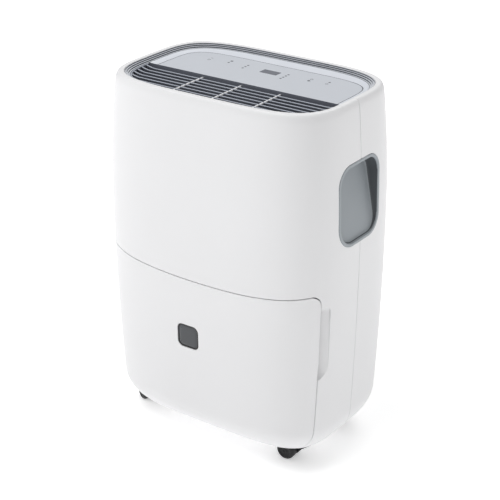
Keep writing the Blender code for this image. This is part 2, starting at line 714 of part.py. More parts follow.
def scroll_outline(inward):
    """A snail round the blower wheel, seen from the front, whose mouth opens upward."""
    outline = []
    for k in range(13):
        turn = math.radians(-15 * k)
        radius = SCROLL_TIGHT + (SCROLL_WIDE - SCROLL_TIGHT) * k / 12 - inward
        outline.append((radius * math.cos(turn), FAN_Z + radius * math.sin(turn)))
    return [(SCROLL_TIGHT - inward, SCROLL_TOP_Z), *outline, (-SCROLL_WIDE + inward, SCROLL_TOP_Z)]


def blower():
    housing = prism("fan_housing", scroll_outline(0.0), "Y", *SCROLL_Y, "cabinet_white")
    inside = prism("scroll_inside", scroll_outline(0.002), "Y", SCROLL_Y[0] + 0.002, SCROLL_Y[1] - 0.002)
    mouth_x = (-SCROLL_WIDE + 0.002, SCROLL_TIGHT - 0.002)
    mouth = box("scroll_mouth", mouth_x, (SCROLL_Y[0] + 0.002, SCROLL_Y[1] - 0.002), (0.47, 0.52))
    inlet = cylinder("scroll_inlet", (0.0, FAN_Z), 0.052, "Y", -0.03, 0.0, points=24)
    shaft_hole = cylinder("scroll_shaft_hole", (0.0, FAN_Z), 0.0060, "Y", -0.09, -0.06, points=12)
    cut(housing, inside, mouth, inlet, shaft_hole)

    motor = cylinder("fan_motor", (0.0, FAN_Z), 0.034, "Y", -0.1040, SCROLL_Y[0] - FIT, "galvanised", 20)
    cut(motor, cylinder("motor_bore", (0.0, FAN_Z), 0.0040, "Y", -0.092, -0.06, points=12))

    wheel_y = (SCROLL_Y[0] + 0.006, SCROLL_Y[1] - 0.006)
    wheel = cylinder("blower_wheel", (0.0, FAN_Z), FAN_R, "Y", wheel_y[0], wheel_y[0] + 0.002, "black_plastic", 24)
    rim = cylinder("wheel_rim", (0.0, FAN_Z), FAN_R, "Y", wheel_y[1] - 0.003, wheel_y[1], points=24)
    cut(rim, cylinder("wheel_rim_hole", (0.0, FAN_Z), FAN_R - 0.008, "Y", -0.1, 0.1, points=24))
    join(wheel, rim)
    for k in range(16):
        blade = box(f"blade_{k}", (FAN_R - 0.0072, FAN_R - 0.0010), (wheel_y[0] + 0.001, wheel_y[1] - 0.001), (-0.0007, 0.0007))
        spin = Matrix.Rotation(math.tau * (k + 0.5) / 16, 4, "Y")
        blade.data.transform(Matrix.Translation((0.0, 0.0, FAN_Z)) @ spin)
        join(wheel, blade)
    shaft = cylinder("blower_shaft", (0.0, FAN_Z), 0.0034, "Y", -0.0900, wheel_y[0] + 0.006, points=12)
    hub = cylinder("blower_hub", (0.0, FAN_Z), 0.0090, "Y", wheel_y[0] + 0.001, wheel_y[0] + 0.014, points=12)
    join(wheel, shaft, hub)
    hang_on(empty("blower_axis", (0.0, 0.0, FAN_Z)), wheel)


def electrics():
    box("control_box", (0.1120, 0.1400), (-0.012, 0.040), (0.3000, 0.4700), "black_plastic")
    cylinder("run_capacitor", (-0.060, 0.050), 0.0175, "Z", PAN_TOP_Z + FIT, 0.1120, "galvanised", 16)
    switch = box("bucket_switch", (0.030, 0.048), (-0.0125, 0.0012), (0.2020, 0.2240), "black_plastic")
    lever = box("switch_lever", (0.034, 0.044), (-0.0115, -0.0105), (0.1936, 0.2030))
    join(switch, lever)


# ---------------------------------------------------------------- back


def back_pieces():
    grille = skin_solid("intake_grille", -0.0050, 0.24, 0.47, "cabinet_white")
    cut(grille, skin_solid("intake_back", WALL, 0.23, 0.48))
    shape = rounded_box(
        (-INTAKE_HALF_WIDTH + 0.0005, INTAKE_HALF_WIDTH - 0.0005),
        (INTAKE_Z[0] + 0.0005, INTAKE_Z[1] - 0.0005),
        0.0115,
        4,
    )
    keep(grille, prism("intake_shape", shape, "Y", 0.05, 0.2))
    bars, gap = 12, 0.0075
    pitch = (INTAKE_Z[1] - INTAKE_Z[0] - 0.020) / bars
    for k in range(bars):
        low = INTAKE_Z[0] + 0.010 + pitch * (k + 0.5) - gap / 2
        for j, x in enumerate(((-0.111, -0.003), (0.003, 0.111))):
            cut(grille, box(f"intake_slot_{k}_{j}", x, (0.05, 0.2), (low, low + gap)))

    frame = box("filter_frame", (-0.114, 0.114), (0.1030, 0.1058), (0.2680, 0.4460), "filter_grey")
    cut(frame, box("filter_window", (-0.108, 0.108), (0.08, 0.12), (0.2740, 0.4400)))
    join(frame, box("filter_bar", (-0.002, 0.002), (0.1035, 0.1053), (0.2700, 0.4440)))
    box("filter_mesh", (-0.1075, 0.1075), (0.1016, 0.1027), (0.2735, 0.4405), "filter_grey")

    seat = skin_y(DRAIN_X, DRAIN_Z)
    outlet = cylinder("drain_outlet", (DRAIN_X, DRAIN_Z), 0.0080, "Y", seat - 0.020, seat + 0.0015, "cabinet_white", 16)
    cut(outlet, cylinder("drain_bore", (DRAIN_X, DRAIN_Z), 0.0060, "Y", seat - 0.016, seat + 0.01, points=16))
    cap = cylinder("drain_cap", (DRAIN_X, DRAIN_Z), 0.0110, "Y", seat + 0.0018, seat + 0.0060, "grip_grey", 16)
    join(cap, cylinder("drain_plug", (DRAIN_X, DRAIN_Z), 0.0055, "Y", seat - 0.007, seat + 0.003, points=16))
    gland_y = skin_y(0.105, 0.085)
    gland = cylinder("cord_gland", (0.105, 0.085), 0.0062, "Y", gland_y - 0.012, gland_y + 0.0040, "black_plastic", 16)
    cut(gland, cylinder("gland_bore", (0.105, 0.085), 0.0036, "Y", 0.0, 0.3, points=12))


# ---------------------------------------------------------------- casters


def caster_places():
    return [(side * CASTER_X, y) for y in CASTER_Y for side in (-1, 1)]


CASTER_NAMES = ("front_left", "front_right", "rear_left", "rear_right")
CASTER_TURNS = (151.0, 180.0, 165.0, 152.0)


def caster(word, place, turn):
    """A twin-wheel caster: the trail points along the local +X axis, and the axle along local Y."""
    pivot = empty(f"caster_pivot_{word}", (*place, 0.0), math.radians(turn))
    axle_empty = empty(f"caster_axle_line_{word}", (CASTER_TRAIL, 0.0, WHEEL_R))
    axle_empty.parent = pivot
    top = WELL_Z - 0.0004
    web = [(-0.0075, top), (-0.0075, top - 0.0035), (CASTER_TRAIL - 0.010, 0.0085)]
    web += circle((CASTER_TRAIL, WHEEL_R), 0.0055, 6, math.radians(215), math.radians(180))
    web += [(CASTER_TRAIL + 0.0035, top - 0.0035), (CASTER_TRAIL + 0.0035, top)]
    fork = prism(f"caster_fork_{word}", web, "Y", -WEB_HALF, WEB_HALF, "black_plastic")
    plate = cylinder(f"caster_plate_{word}", (0.0, 0.0), 0.0115, "Z", top - 0.0009, top)
    stem = cylinder(f"caster_stem_{word}", (0.0, 0.0), 0.0040, "Z", top - 0.0005, 0.0415, points=12)
    axle = cylinder(f"caster_axle_{word}", (CASTER_TRAIL, WHEEL_R), 0.0016, "Y", -0.0125, 0.0125, points=12)
    for helper in (plate, stem, axle):
        helper.parent = pivot
    join(fork, plate, stem, axle)
    fork.parent = pivot
    for side, letter in ((-1, "a"), (1, "b")):
        span = sorted((side * (WEB_HALF + 0.0006), side * (WEB_HALF + 0.0006 + WHEEL_WIDTH)))
        wheel = cylinder(f"caster_wheel_{word}_{letter}", (0.0, 0.0), WHEEL_R, "Y", *span, "black_plastic", 20)
        hole_span = sorted((0.0, side * 0.0130))
        hole = cylinder(f"wheel_hole_{word}_{letter}", (0.0, 0.0), 0.0020, "Y", *hole_span, points=12)
        hole.parent = axle_empty
        wheel.parent = axle_empty
        cut(wheel, hole)


def main():
    for obj in list(bpy.data.objects):
        bpy.data.objects.remove(obj)
    cabinet()
    rear_screws()
    base()
    for side in (-1, 1):
        side_grip(side)
    top_frame()
    outlet_grille()
    grille_ribs()
    control_panel()
    bucket()
    divider()
    drip_tray()
    compressor()
    finned_coil("evaporator_coil", (0.0720, 0.1000))
    finned_coil("condenser_coil", (0.0400, 0.0680))
    pipes()
    blower()
    electrics()
    back_pieces()
    for word, place, turn in zip(CASTER_NAMES, caster_places(), CASTER_TURNS):
        caster(word, place, turn)


main()
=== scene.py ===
import json
import math

import bmesh
import bpy
import numpy as np
from mathutils import Matrix, Vector


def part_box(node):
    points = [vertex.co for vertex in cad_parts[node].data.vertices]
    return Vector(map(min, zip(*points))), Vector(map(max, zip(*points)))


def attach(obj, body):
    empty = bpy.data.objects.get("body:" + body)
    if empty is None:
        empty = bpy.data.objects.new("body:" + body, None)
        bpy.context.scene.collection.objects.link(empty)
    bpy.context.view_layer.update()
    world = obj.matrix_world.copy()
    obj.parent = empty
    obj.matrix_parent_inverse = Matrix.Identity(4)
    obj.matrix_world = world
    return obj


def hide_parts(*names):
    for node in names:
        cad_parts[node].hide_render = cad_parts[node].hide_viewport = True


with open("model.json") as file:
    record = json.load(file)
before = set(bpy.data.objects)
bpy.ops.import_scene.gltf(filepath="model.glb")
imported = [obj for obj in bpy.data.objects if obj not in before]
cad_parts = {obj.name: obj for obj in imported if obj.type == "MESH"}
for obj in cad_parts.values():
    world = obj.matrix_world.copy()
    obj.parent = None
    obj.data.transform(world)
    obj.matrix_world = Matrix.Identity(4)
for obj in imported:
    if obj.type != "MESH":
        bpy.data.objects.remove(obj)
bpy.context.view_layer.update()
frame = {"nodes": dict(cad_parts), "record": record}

# ---------------------------------------------------------------- measures shared with the CAD, in metres

HALF_WIDTH, HALF_DEPTH, HEIGHT, BASE_Z = 0.175, 0.119, 0.510, 0.024
PLAN_POWER = 4.1
WIDEST_Z = 0.338
BASE_ROUND, BASE_DRAW_IN = 0.0471, 0.0414
SHOULDER_ROUND, SHOULDER_DRAW_IN = 0.0115, 0.0042
WALL, FIT, SEAM = 0.0025, 0.0003, 0.0010
SKIRT_Z = 0.0290
LIP_IN, LIP_UNDER_Z = 0.0178, 0.507
DECK_Z = 0.501
FRAME_IN, FRAME_Z = 0.0240, 0.5040
OVERLAY_HALF_WIDTH, OVERLAY_BACK_Y, OVERLAY_POWER = 0.1405, 0.0783, 5.85
STEP_INSETS = (0.0186, 0.0204, 0.0222)
STEP_LEVELS = (HEIGHT - 0.0024, HEIGHT - 0.0042, FRAME_Z)
BUCKET_EDGE_Y = -0.077
REAR_SWEEP_Y = 0.070
BUCKET_CORNER_Z, BUCKET_CORNER_R = 0.2715, 0.014
GRIP_Y, GRIP_Z = (-0.051, 0.045), (0.3215, 0.4330)
GRIP_R, GRIP_FRONT_LOW_R = 0.026, 0.033
GRIP_FLOOR_TOP_X, GRIP_FLOOR_SLOPE = 0.1507, 0.19
SEAM_ROUND = 0.0008
SLAT_COUNT, SLAT_PITCH = 7, 0.0102
RIB_X, RIB_HALF = (-0.061, 0.0, 0.061), 0.0011
RECESS_Z, RECESS_BACK_Y = (0.147, 0.253), -0.0612
WHEEL_WIDTH, FORK_HALF, FORK_TOP_Z = 0.0115, 0.0025, 0.0283

CAMERA_AZIMUTH, CAMERA_ELEVATION = 35.204, 24.819
CAMERA_LENS, CAMERA_DISTANCE, CAMERA_TARGET = 102.213, 1.9293, (0.0014, 0.0018, 0.2617)


def quarter(share):
    """How far a quarter circle still is from its end: 1 at share 0, and 0 from share 1 on."""
    share = np.clip(share, 0.0, 1.0)
    return 1.0 - np.sqrt(np.maximum(1.0 - (1.0 - share) ** 2, 0.0))


def inset(z):
    """How far the skin stands inside the widest plan at this height."""
    z = np.asarray(z, float)
    low = 0.0087 * (np.clip(WIDEST_Z - z, 0.0, None) / (WIDEST_Z - BASE_Z)) ** 2.09
    high = 0.0084 * (np.clip(z - WIDEST_Z, 0.0, None) / (HEIGHT - WIDEST_Z)) ** 1.93
    bottom = BASE_DRAW_IN * quarter((z - BASE_Z) / BASE_ROUND)
    top = SHOULDER_DRAW_IN * quarter((HEIGHT - z) / SHOULDER_ROUND)
    return low + high + bottom + top


def seam_z(x):
    """The height of the bucket's arched upper edge."""
    return 0.2595 + 0.009 * (x / 0.140) ** 2


def superellipse(half_width, half_depth, power, points):
    angle = math.tau * (np.arange(points) + 0.5) / points
    c, s = np.cos(angle), np.sin(angle)
    x = np.copysign(half_width * np.abs(c) ** (2 / power), c)
    y = np.copysign(half_depth * np.abs(s) ** (2 / power), s)
    return np.stack([x, y], 1)


def even_plan(inward, points=320):
    """The cabinet's plan, drawn in by this much, with its points spaced evenly along it."""
    dense = superellipse(HALF_WIDTH - inward, HALF_DEPTH - inward, PLAN_POWER, 4096)
    closed = np.vstack([dense, dense[:1]])
    run = np.concatenate([[0.0], np.cumsum(np.hypot(*np.diff(closed, axis=0).T))])
    at = np.linspace(0.0, run[-1], points, endpoint=False)
    return np.stack([np.interp(at, run, closed[:, 0]), np.interp(at, run, closed[:, 1])], 1)


def plan_x(y, inward):
    """How far the plan reaches to the side at this depth."""
    a, b = HALF_WIDTH - inward, HALF_DEPTH - inward
    return a * (1 - np.abs(y / b) ** PLAN_POWER) ** (1 / PLAN_POWER)


def skin_x(y, z):
    return float(plan_x(y, inset(z)))


def skin_y(x, z):
    a, b = HALF_WIDTH - inset(z), HALF_DEPTH - inset(z)
    return float(b * (1 - np.abs(x / a) ** PLAN_POWER) ** (1 / PLAN_POWER))


def box_centre(low, high):
    """The middle of a node's box, seen from the front: (x, z)."""
    return ((low.x + high.x) / 2, (low.z + high.z) / 2)


def grown_box(low, high, grow, radius, arc_points, upright=True):
    """A node's box grown to a rounded outline, seen from the front or, when not upright, from above."""
    across = (low.x - grow, high.x + grow)
    along = (low.z - grow, high.z + grow) if upright else (low.y - grow, high.y + grow)
    return rounded_box(across, along, radius, arc_points)


# ---------------------------------------------------------------- mesh helpers


def new_object(name, mesh, material, body):
    """A visible piece that rides a body."""
    obj = bpy.data.objects.new(name, mesh)
    bpy.context.scene.collection.objects.link(obj)
    mesh.materials.append(material)
    mesh.shade_smooth()
    mesh.set_sharp_from_angle(angle=math.radians(35.0))
    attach(obj, body)
    return obj


def mesh_from(name, points, faces):
    work = bmesh.new()
    verts = [work.verts.new(p) for p in points]
    for face in faces:
        work.faces.new([verts[i] for i in face])
    bmesh.ops.remove_doubles(work, verts=work.verts, dist=1e-7)
    bmesh.ops.recalc_face_normals(work, faces=work.faces)
    mesh = bpy.data.meshes.new(name)
    work.to_mesh(mesh)
    work.free()
    return mesh


def rings_mesh(name, rings, closed=False):
    """Skin through rings with equal numbers of points; closed joins the last ring to the first."""
    rings = [np.asarray(r, float) for r in rings]
    count = len(rings[0])
    points = np.concatenate(rings)
    faces = []
    spans = len(rings) if closed else len(rings) - 1
    for k in range(spans):
        a, b = k * count, ((k + 1) % len(rings)) * count
        for i in range(count):
            j = (i + 1) % count
            faces.append((a + i, a + j, b + j, b + i))
    if not closed:
        faces.append(tuple(range(count)))
        faces.append(tuple(range((len(rings) - 1) * count, len(rings) * count)))
    return mesh_from(name, points, faces)


def thick_patch(name, outer, inner, cells):
    """A sheet of thickness: two grids of points, the cells of them that are there, and the edges between."""
    columns, rows = outer.shape[:2]
    index = np.arange(columns * rows).reshape(columns, rows)
    shift = columns * rows
    faces, edges = [], {}
    for c, r in zip(*np.nonzero(cells)):
        quad = (index[c, r], index[c + 1, r], index[c + 1, r + 1], index[c, r + 1])
        faces.append(quad)
        faces.append(tuple(shift + i for i in reversed(quad)))
        for a, b in zip(quad, quad[1:] + quad[:1]):
            if (b, a) in edges:
                del edges[(b, a)]
            else:
                edges[(a, b)] = True
    for a, b in edges:
        faces.append((b, a, shift + a, shift + b))
    points = np.concatenate([outer.reshape(-1, 3), inner.reshape(-1, 3)])
    used = sorted({i for face in faces for i in face})
    renumber = {old: new for new, old in enumerate(used)}
    return mesh_from(name, points[used], [tuple(renumber[i] for i in face) for face in faces])


def circle(centre, radius, points=24, start=0.0, turn=math.tau):
    """A circle, or an arc of it that has both its ends."""
    steps = points if turn == math.tau else points - 1
    angle = start + turn * np.arange(points) / steps
    return [(centre[0] + radius * math.cos(a), centre[1] + radius * math.sin(a)) for a in angle]


def rounded_box(u, v, radius, arc_points=9):
    corners = (
        (u[1] - radius, v[1] - radius, 0.0),
        (u[0] + radius, v[1] - radius, 0.5 * math.pi),
        (u[0] + radius, v[0] + radius, math.pi),
        (u[1] - radius, v[0] + radius, 1.5 * math.pi),
    )
    outline = []
    for cu, cv, start in corners:
        outline += circle((cu, cv), radius, arc_points, start, 0.5 * math.pi)
    return outline


AXES = {"X": (1, 2, 0), "Y": (0, 2, 1), "Z": (0, 1, 2)}


def lay(outline, axis, level):
    """A flat outline set square to an axis, at a level along it."""
    first, second, along = AXES[axis]
    ring = np.zeros((len(outline), 3))
    ring[:, first] = [u for u, v in outline]
    ring[:, second] = [v for u, v in outline]
    ring[:, along] = level
    return ring


def prism_mesh(name, outline, axis, low, high):
    return rings_mesh(name, [lay(outline, axis, low), lay(outline, axis, high)])


def helper_object(mesh):
    obj = bpy.data.objects.new(mesh.name, mesh)
    bpy.context.scene.collection.objects.link(obj)
    return obj


def carve(mesh, steps):
    """The mesh after Booleans with other meshes: steps are (operation, mesh)."""
    target = helper_object(mesh)
    others = []
    for operation, other in steps:
        tool = helper_object(other)
        modifier = target.modifiers.new("cut", "BOOLEAN")
        modifier.operation = operation
        modifier.solver = "EXACT"
        modifier.object = tool
        others.append(tool)
    bpy.context.view_layer.update()
    shaped = bpy.data.meshes.new_from_object(target.evaluated_get(bpy.context.evaluated_depsgraph_get()))
    shaped.name = mesh.name + "_shape"
    for tool in [target, *others]:
        old = tool.data
        bpy.data.objects.remove(tool)
        bpy.data.meshes.remove(old)
    return shaped


def round_edges(obj, width):
    modifier = obj.modifiers.new("round", "BEVEL")
    modifier.width = width
    modifier.segments = 2
    modifier.limit_method = "ANGLE"
    modifier.angle_limit = math.radians(40.0)
    modifier.use_clamp_overlap = True


def merge(name, meshes):
    """One mesh of several separate shells."""
    work = bmesh.new()
    for mesh in meshes:
        work.from_mesh(mesh)
        bpy.data.meshes.remove(mesh)
    joined = bpy.data.meshes.new(name)
    work.to_mesh(joined)
    work.free()
    return joined


# ---------------------------------------------------------------- materials


class Nodes:
    """A material's node tree, with short ways to add nodes and links."""

    def __init__(self, name):
        self.material = bpy.data.materials.new(name)
        self.material.use_nodes = True
        self.tree = self.material.node_tree
        self.shader = self.tree.nodes["Principled BSDF"]
        self.place = self.add("ShaderNodeTexCoord").outputs["Object"]

    def add(self, kind, **settings):
        node = self.tree.nodes.new(kind)
        for key, value in settings.items():
            setattr(node, key, value)
        return node

    def link(self, out, into):
        self.tree.links.new(out, into)

    def stretch(self, scale):
        mapping = self.add("ShaderNodeMapping")
        mapping.inputs["Scale"].default_value = scale
        self.link(self.place, mapping.inputs["Vector"])
        return mapping.outputs["Vector"]

    def noise(self, scale, detail=3.0, rough=0.5, place=None):
        node = self.add("ShaderNodeTexNoise")
        node.inputs["Scale"].default_value = scale
        node.inputs["Detail"].default_value = detail
        node.inputs["Roughness"].default_value = rough
        self.link(place or self.place, node.inputs["Vector"])
        return node.outputs["Fac"]

    def cells(self, scale, feature="F1", place=None):
        node = self.add("ShaderNodeTexVoronoi", feature=feature)
        node.inputs["Scale"].default_value = scale
        self.link(place or self.place, node.inputs["Vector"])
        return node.outputs["Distance"]

    def remap(self, value, low, high, start=0.3, end=0.7):
        node = self.add("ShaderNodeMapRange")
        node.inputs["From Min"].default_value = start
        node.inputs["From Max"].default_value = end
        node.inputs["To Min"].default_value = low
        node.inputs["To Max"].default_value = high
        self.link(value, node.inputs["Value"])
        return node.outputs["Result"]

    def blend(self, share, first, second):
        node = self.add("ShaderNodeMix", data_type="RGBA")
        self.link(share, node.inputs["Factor"])
        for socket, colour in ((node.inputs[6], first), (node.inputs[7], second)):
            if isinstance(colour, tuple):
                socket.default_value = (*colour, 1.0)
            else:
                self.link(colour, socket)
        return node.outputs[2]

    def colour(self, value):
        self.link(value, self.shader.inputs["Base Color"])

    def bump(self, height, distance, strength=1.0, after=None):
        node = self.add("ShaderNodeBump")
        node.inputs["Distance"].default_value = distance
        node.inputs["Strength"].default_value = strength
        self.link(height, node.inputs["Height"])
        if after:
            self.link(after, node.inputs["Normal"])
        self.link(node.outputs["Normal"], self.shader.inputs["Normal"])
        return node.outputs["Normal"]

    def set(self, **values):
        for key, value in values.items():
            self.shader.inputs[key.replace("_", " ")].default_value = value
        return self


def shade(colour, factor):
    return tuple(min(c * factor, 1.0) for c in colour)


def moulded(name, colour, rough=0.4, mottle=0.015, grain=1600.0, depth=0.00002, sag=0.0, **more):
    """Injection-moulded plastic: a spark-eroded grain, faint flow marks, and a roughness that wanders."""
    n = Nodes(name)
    flow = n.remap(n.noise(9.0, 4.0), 0.0, 1.0)
    n.colour(n.blend(flow, shade(colour, 1 - mottle), shade(colour, 1 + mottle)))
    n.link(n.remap(n.noise(45.0, 5.0, 0.6), rough - 0.035, rough + 0.035), n.shader.inputs["Roughness"])
    grained = n.bump(n.noise(grain, 2.0, 0.6), depth, 0.6)
    if sag:
        n.bump(n.noise(16.0, 2.0), sag, 0.5, grained)
    return n.set(**more).material


def metal(name, colour, rough=0.35, stretch=(1, 1, 30)):
    """Sheet or drawn metal with fine lines along one direction and dull patches."""
    n = Nodes(name)
    lines = n.noise(220.0, 3.0, 0.7, n.stretch(stretch))
    dull = n.remap(n.noise(24.0, 4.0), 0.0, 1.0)
    n.colour(n.blend(dull, shade(colour, 0.82), shade(colour, 1.08)))
    n.link(n.remap(lines, rough - 0.08, rough + 0.12), n.shader.inputs["Roughness"])
    n.bump(lines, 0.00002, 0.5)
    return n.set(Metallic=1.0).material


def spangled(name, colour):
    """Galvanised sheet with its zinc crystals."""
    n = Nodes(name)
    crystal = n.add("ShaderNodeTexVoronoi")
    crystal.inputs["Scale"].default_value = 160.0
    n.link(n.place, crystal.inputs["Vector"])
    tone = n.add("ShaderNodeSeparateColor")
    n.link(crystal.outputs["Color"], tone.inputs["Color"])
    n.colour(n.blend(tone.outputs["Red"], shade(colour, 0.8), shade(colour, 1.15)))
    n.link(n.remap(tone.outputs["Green"], 0.28, 0.5, 0.0, 1.0), n.shader.inputs["Roughness"])
    n.bump(n.noise(300.0), 0.00002, 0.4)
    return n.set(Metallic=0.9).material


def board_finish(name):
    """Solder resist with tracks under it."""
    n = Nodes(name)
    tracks = n.remap(n.cells(260.0, "DISTANCE_TO_EDGE"), 0.0, 1.0, 0.02, 0.06)
    n.colour(n.blend(tracks, (0.10, 0.32, 0.14), (0.02, 0.13, 0.05)))
    n.bump(tracks, 0.00003, 0.6)
    return n.set(Roughness=0.35).material


def woven(name, colour, pitch):
    """A net of fine threads."""
    n = Nodes(name)
    heights = []
    for axis in ("X", "Z"):
        wave = n.add("ShaderNodeTexWave", bands_direction=axis)
        wave.inputs["Scale"].default_value = 0.5 / pitch / 3.1416
        n.link(n.place, wave.inputs["Vector"])
        heights.append(wave.outputs["Fac"])
    higher = n.add("ShaderNodeMath", operation="MAXIMUM")
    n.link(heights[0], higher.inputs[0])
    n.link(heights[1], higher.inputs[1])
    thread = higher.outputs["Value"]
    n.colour(n.blend(thread, shade(colour, 0.25), shade(colour, 1.5)))
    n.bump(thread, 0.0003, 0.8)
    return n.set(Roughness=0.8).material


def stepped(name, tread, shaded_riser):
    """Grey plastic with painted light and shade: up-facing treads painted lighter and upright risers painted
    darker, for how light falls on them.
    """
    n = Nodes(name)
    facing = n.add("ShaderNodeSeparateXYZ")
    n.link(n.add("ShaderNodeNewGeometry").outputs["Normal"], facing.inputs["Vector"])
    # Painted light and shade: the lit tread colour takes over as a face turns upward, and steep faces keep
    # the dark riser colour.
    up = n.remap(facing.outputs["Z"], 0.0, 1.0, 0.45, 0.8)
    flow = n.remap(n.noise(14.0, 4.0), 0.0, 1.0)
    n.colour(n.blend(up, n.blend(flow, shade(shaded_riser, 0.95), shade(shaded_riser, 1.05)), tread))
    n.bump(n.noise(1500.0, 2.0, 0.6), 0.00002, 0.6)
    return n.set(Roughness=0.42).material


def painted(name, colour, rough=0.4):
    """Thick sprayed paint over a pressing, with orange peel and a few dull scuffs."""
    n = Nodes(name)
    scuffs = n.remap(n.noise(70.0, 6.0, 0.7), 0.0, 1.0, 0.55, 0.75)
    n.colour(n.blend(scuffs, colour, shade(colour, 2.2)))
    n.link(n.remap(n.noise(30.0), rough - 0.05, rough + 0.15), n.shader.inputs["Roughness"])
    n.bump(n.noise(420.0, 2.0), 0.00008, 0.5)
    return n.material


WHITE = moulded("finish_cabinet_white", (0.80, 0.80, 0.81), 0.38, 0.006, 1500.0, 0.000015)
SILVER = moulded("finish_panel_silver", (0.655, 0.68, 0.73), 0.42, 0.012, 2200.0, 0.00001)
OVERLAY = moulded("finish_panel_overlay", (0.575, 0.60, 0.645), 0.34, 0.01, 2600.0, 0.000008)
# The trim band and the grille slats carry painted light and shade: lit treads and dark risers.
BAND = stepped("finish_trim_band", (0.60, 0.62, 0.66), (0.075, 0.085, 0.105))
SLAT = stepped("finish_grille_slats", (0.36, 0.385, 0.44), (0.14, 0.15, 0.18))
GRIP = moulded("finish_grip_grey", (0.33, 0.36, 0.385), 0.5, 0.02, 1100.0, 0.00004)
# Dark grey painted shade, given to the steep walls inside the grip cups.
GRIP_PAINTED_SHADE = moulded("finish_grip_painted_shade", (0.085, 0.094, 0.103), 0.55, 0.03, 1100.0, 0.00004)
LENS_COAT = {"Coat_Weight": 0.15, "Coat_Roughness": 0.1}
LENS = moulded("finish_smoked_lens", (0.042, 0.046, 0.052), 0.3, 0.05, 2600.0, 0.000003, **LENS_COAT)
SCREEN = moulded("finish_display_lens", (0.17, 0.18, 0.21), 0.2, 0.03, 2600.0, 0.000003)
# Dark ink for the printed signs, also used for the dark strip that paints shade in the gap round the touch
# sheet.
PRINT_INK_AND_GAP_SHADE = moulded("finish_print_ink_and_gap_shade", (0.07, 0.075, 0.09), 0.5, 0.05)
BLACK = moulded("finish_black_plastic", (0.008, 0.008, 0.009), 0.32, 0.1, 1200.0, 0.00003)
TYRE = moulded("finish_caster_tread", (0.010, 0.010, 0.011), 0.55, 0.15, 900.0, 0.00006)
TUB_CLEAR = {"Transmission_Weight": 0.55, "IOR": 1.49}
TUB = moulded("finish_tub_clear", (0.74, 0.79, 0.83), 0.22, 0.02, 1400.0, 0.00002, **TUB_CLEAR)
FOAM = moulded("finish_float_foam", (0.82, 0.82, 0.79), 0.8, 0.03, 700.0, 0.0002)
RUBBER = moulded("finish_rubber", (0.02, 0.02, 0.02), 0.75, 0.15, 500.0, 0.00006)
ZINC = spangled("finish_galvanised", (0.58, 0.59, 0.61))
CAN = painted("finish_compressor_paint", (0.02, 0.02, 0.022))
COPPER = metal("finish_copper", (0.72, 0.36, 0.20), 0.32)
FIN = metal("finish_aluminium_fin", (0.75, 0.77, 0.79), 0.38, (60, 60, 1))
STEEL = metal("finish_zinc_screw", (0.62, 0.62, 0.60), 0.3, (1, 30, 1))
BOARD = board_finish("finish_circuit_board")
NET = woven("finish_filter_net", (0.13, 0.14, 0.15), 0.0016)

CAD_FINISH = {
    "cabinet_white": WHITE,
    "panel_silver": SILVER,
    "trim_grey": BAND,
    "grip_grey": GRIP,
    "smoked_lens": LENS,
    "black_plastic": BLACK,
    "tub_clear": TUB,
    "galvanised": ZINC,
    "compressor_black": CAN,
    "copper": COPPER,
    "aluminium_fin": FIN,
    "board_green": BOARD,
    "filter_grey": NET,
    "rubber": RUBBER,
    "float_white": FOAM,
    "steel": STEEL,
}


def dress_cad_nodes():
    """Every CAD node gets the finish of its material slot; those that a piece stands for are hidden later."""
    for entry in frame["record"]["subparts"]:
        obj = frame["nodes"][entry["node"]]
        finish = CAD_FINISH[entry["material_slot"]]
        if obj.material_slots:
            for place in obj.material_slots:
                place.material = finish
        else:
            obj.data.materials.append(finish)


SOFTENED = {
    "base_pan": 0.0008,
    "bucket_tub": 0.0007,
    "bucket_lid": 0.0008,
    "bucket_handle": 0.0009,
    "handle_ear_left": 0.0006,
    "handle_ear_right": 0.0006,
    "float_lever": 0.0012,
    "float_bracket": 0.0005,
    "tank_divider": 0.0006,
    "drip_tray": 0.0008,
    "compressor": 0.0020,
    "control_box": 0.0015,
    "run_capacitor": 0.0012,
    "fan_housing": 0.0006,
    "fan_motor": 0.0012,
    "filter_frame": 0.0005,
    "intake_grille": 0.0006,
    "drain_outlet": 0.0005,
    "drain_cap": 0.0007,
    "cord_gland": 0.0005,
    "bucket_switch": 0.0006,
    **{f"rear_screw_{k}": 0.0003 for k in (1, 2, 3)},
}


def soften_cad_edges():
    """Moulded and pressed pieces have no sharp edges."""
    for node, width in SOFTENED.items():
        round_edges(frame["nodes"][node], width)


# ---------------------------------------------------------------- covers


def sweep_shares(edge, step=0.0032):
    """Shares of the way round from a side edge to the middle of the front, evenly spaced along the skin."""
    a, b = HALF_WIDTH - inset(0.26), HALF_DEPTH - inset(0.26)
    start = math.asin((edge / b) ** (PLAN_POWER / 2))
    angle = np.linspace(start, math.pi / 2, 3000)
    x = a * np.cos(angle).clip(0) ** (2 / PLAN_POWER)
    y = b * np.sin(angle) ** (2 / PLAN_POWER)
    run = np.concatenate([[0.0], np.cumsum(np.hypot(np.diff(x), np.diff(y)))])
    close = np.array([0.0, 0.0001, 0.00025, 0.0005, 0.0008, 0.0013, 0.002, 0.003, 0.0045])
    corner = 0.006 + 0.0014 * np.arange(9)
    far = np.linspace(corner[-1] + 0.002, run[-1], int((run[-1] - corner[-1]) / step))
    at = np.concatenate([close, corner, far])
    return (np.interp(at, run, angle) - start) / (math.pi / 2 - start)


def skin_point(kind, value, side, end, edge, z, inward):
    """A point of the skin: a "side" column keeps its |y|, a "sweep" one its share of the way to x = 0."""
    a, b = HALF_WIDTH - inset(z) - inward, HALF_DEPTH - inset(z) - inward
    if kind == "side":
        y = np.full_like(a, value)
        x = a * np.clip(1 - (y / b) ** PLAN_POWER, 0, None) ** (1 / PLAN_POWER)
    else:
        start = np.arcsin(np.clip(edge / b, 0, 1) ** (PLAN_POWER / 2))
        angle = start + (math.pi / 2 - start) * value
        x = a * np.cos(angle).clip(0) ** (2 / PLAN_POWER)
        y = b * np.sin(angle) ** (2 / PLAN_POWER)
    return side * x, end * y


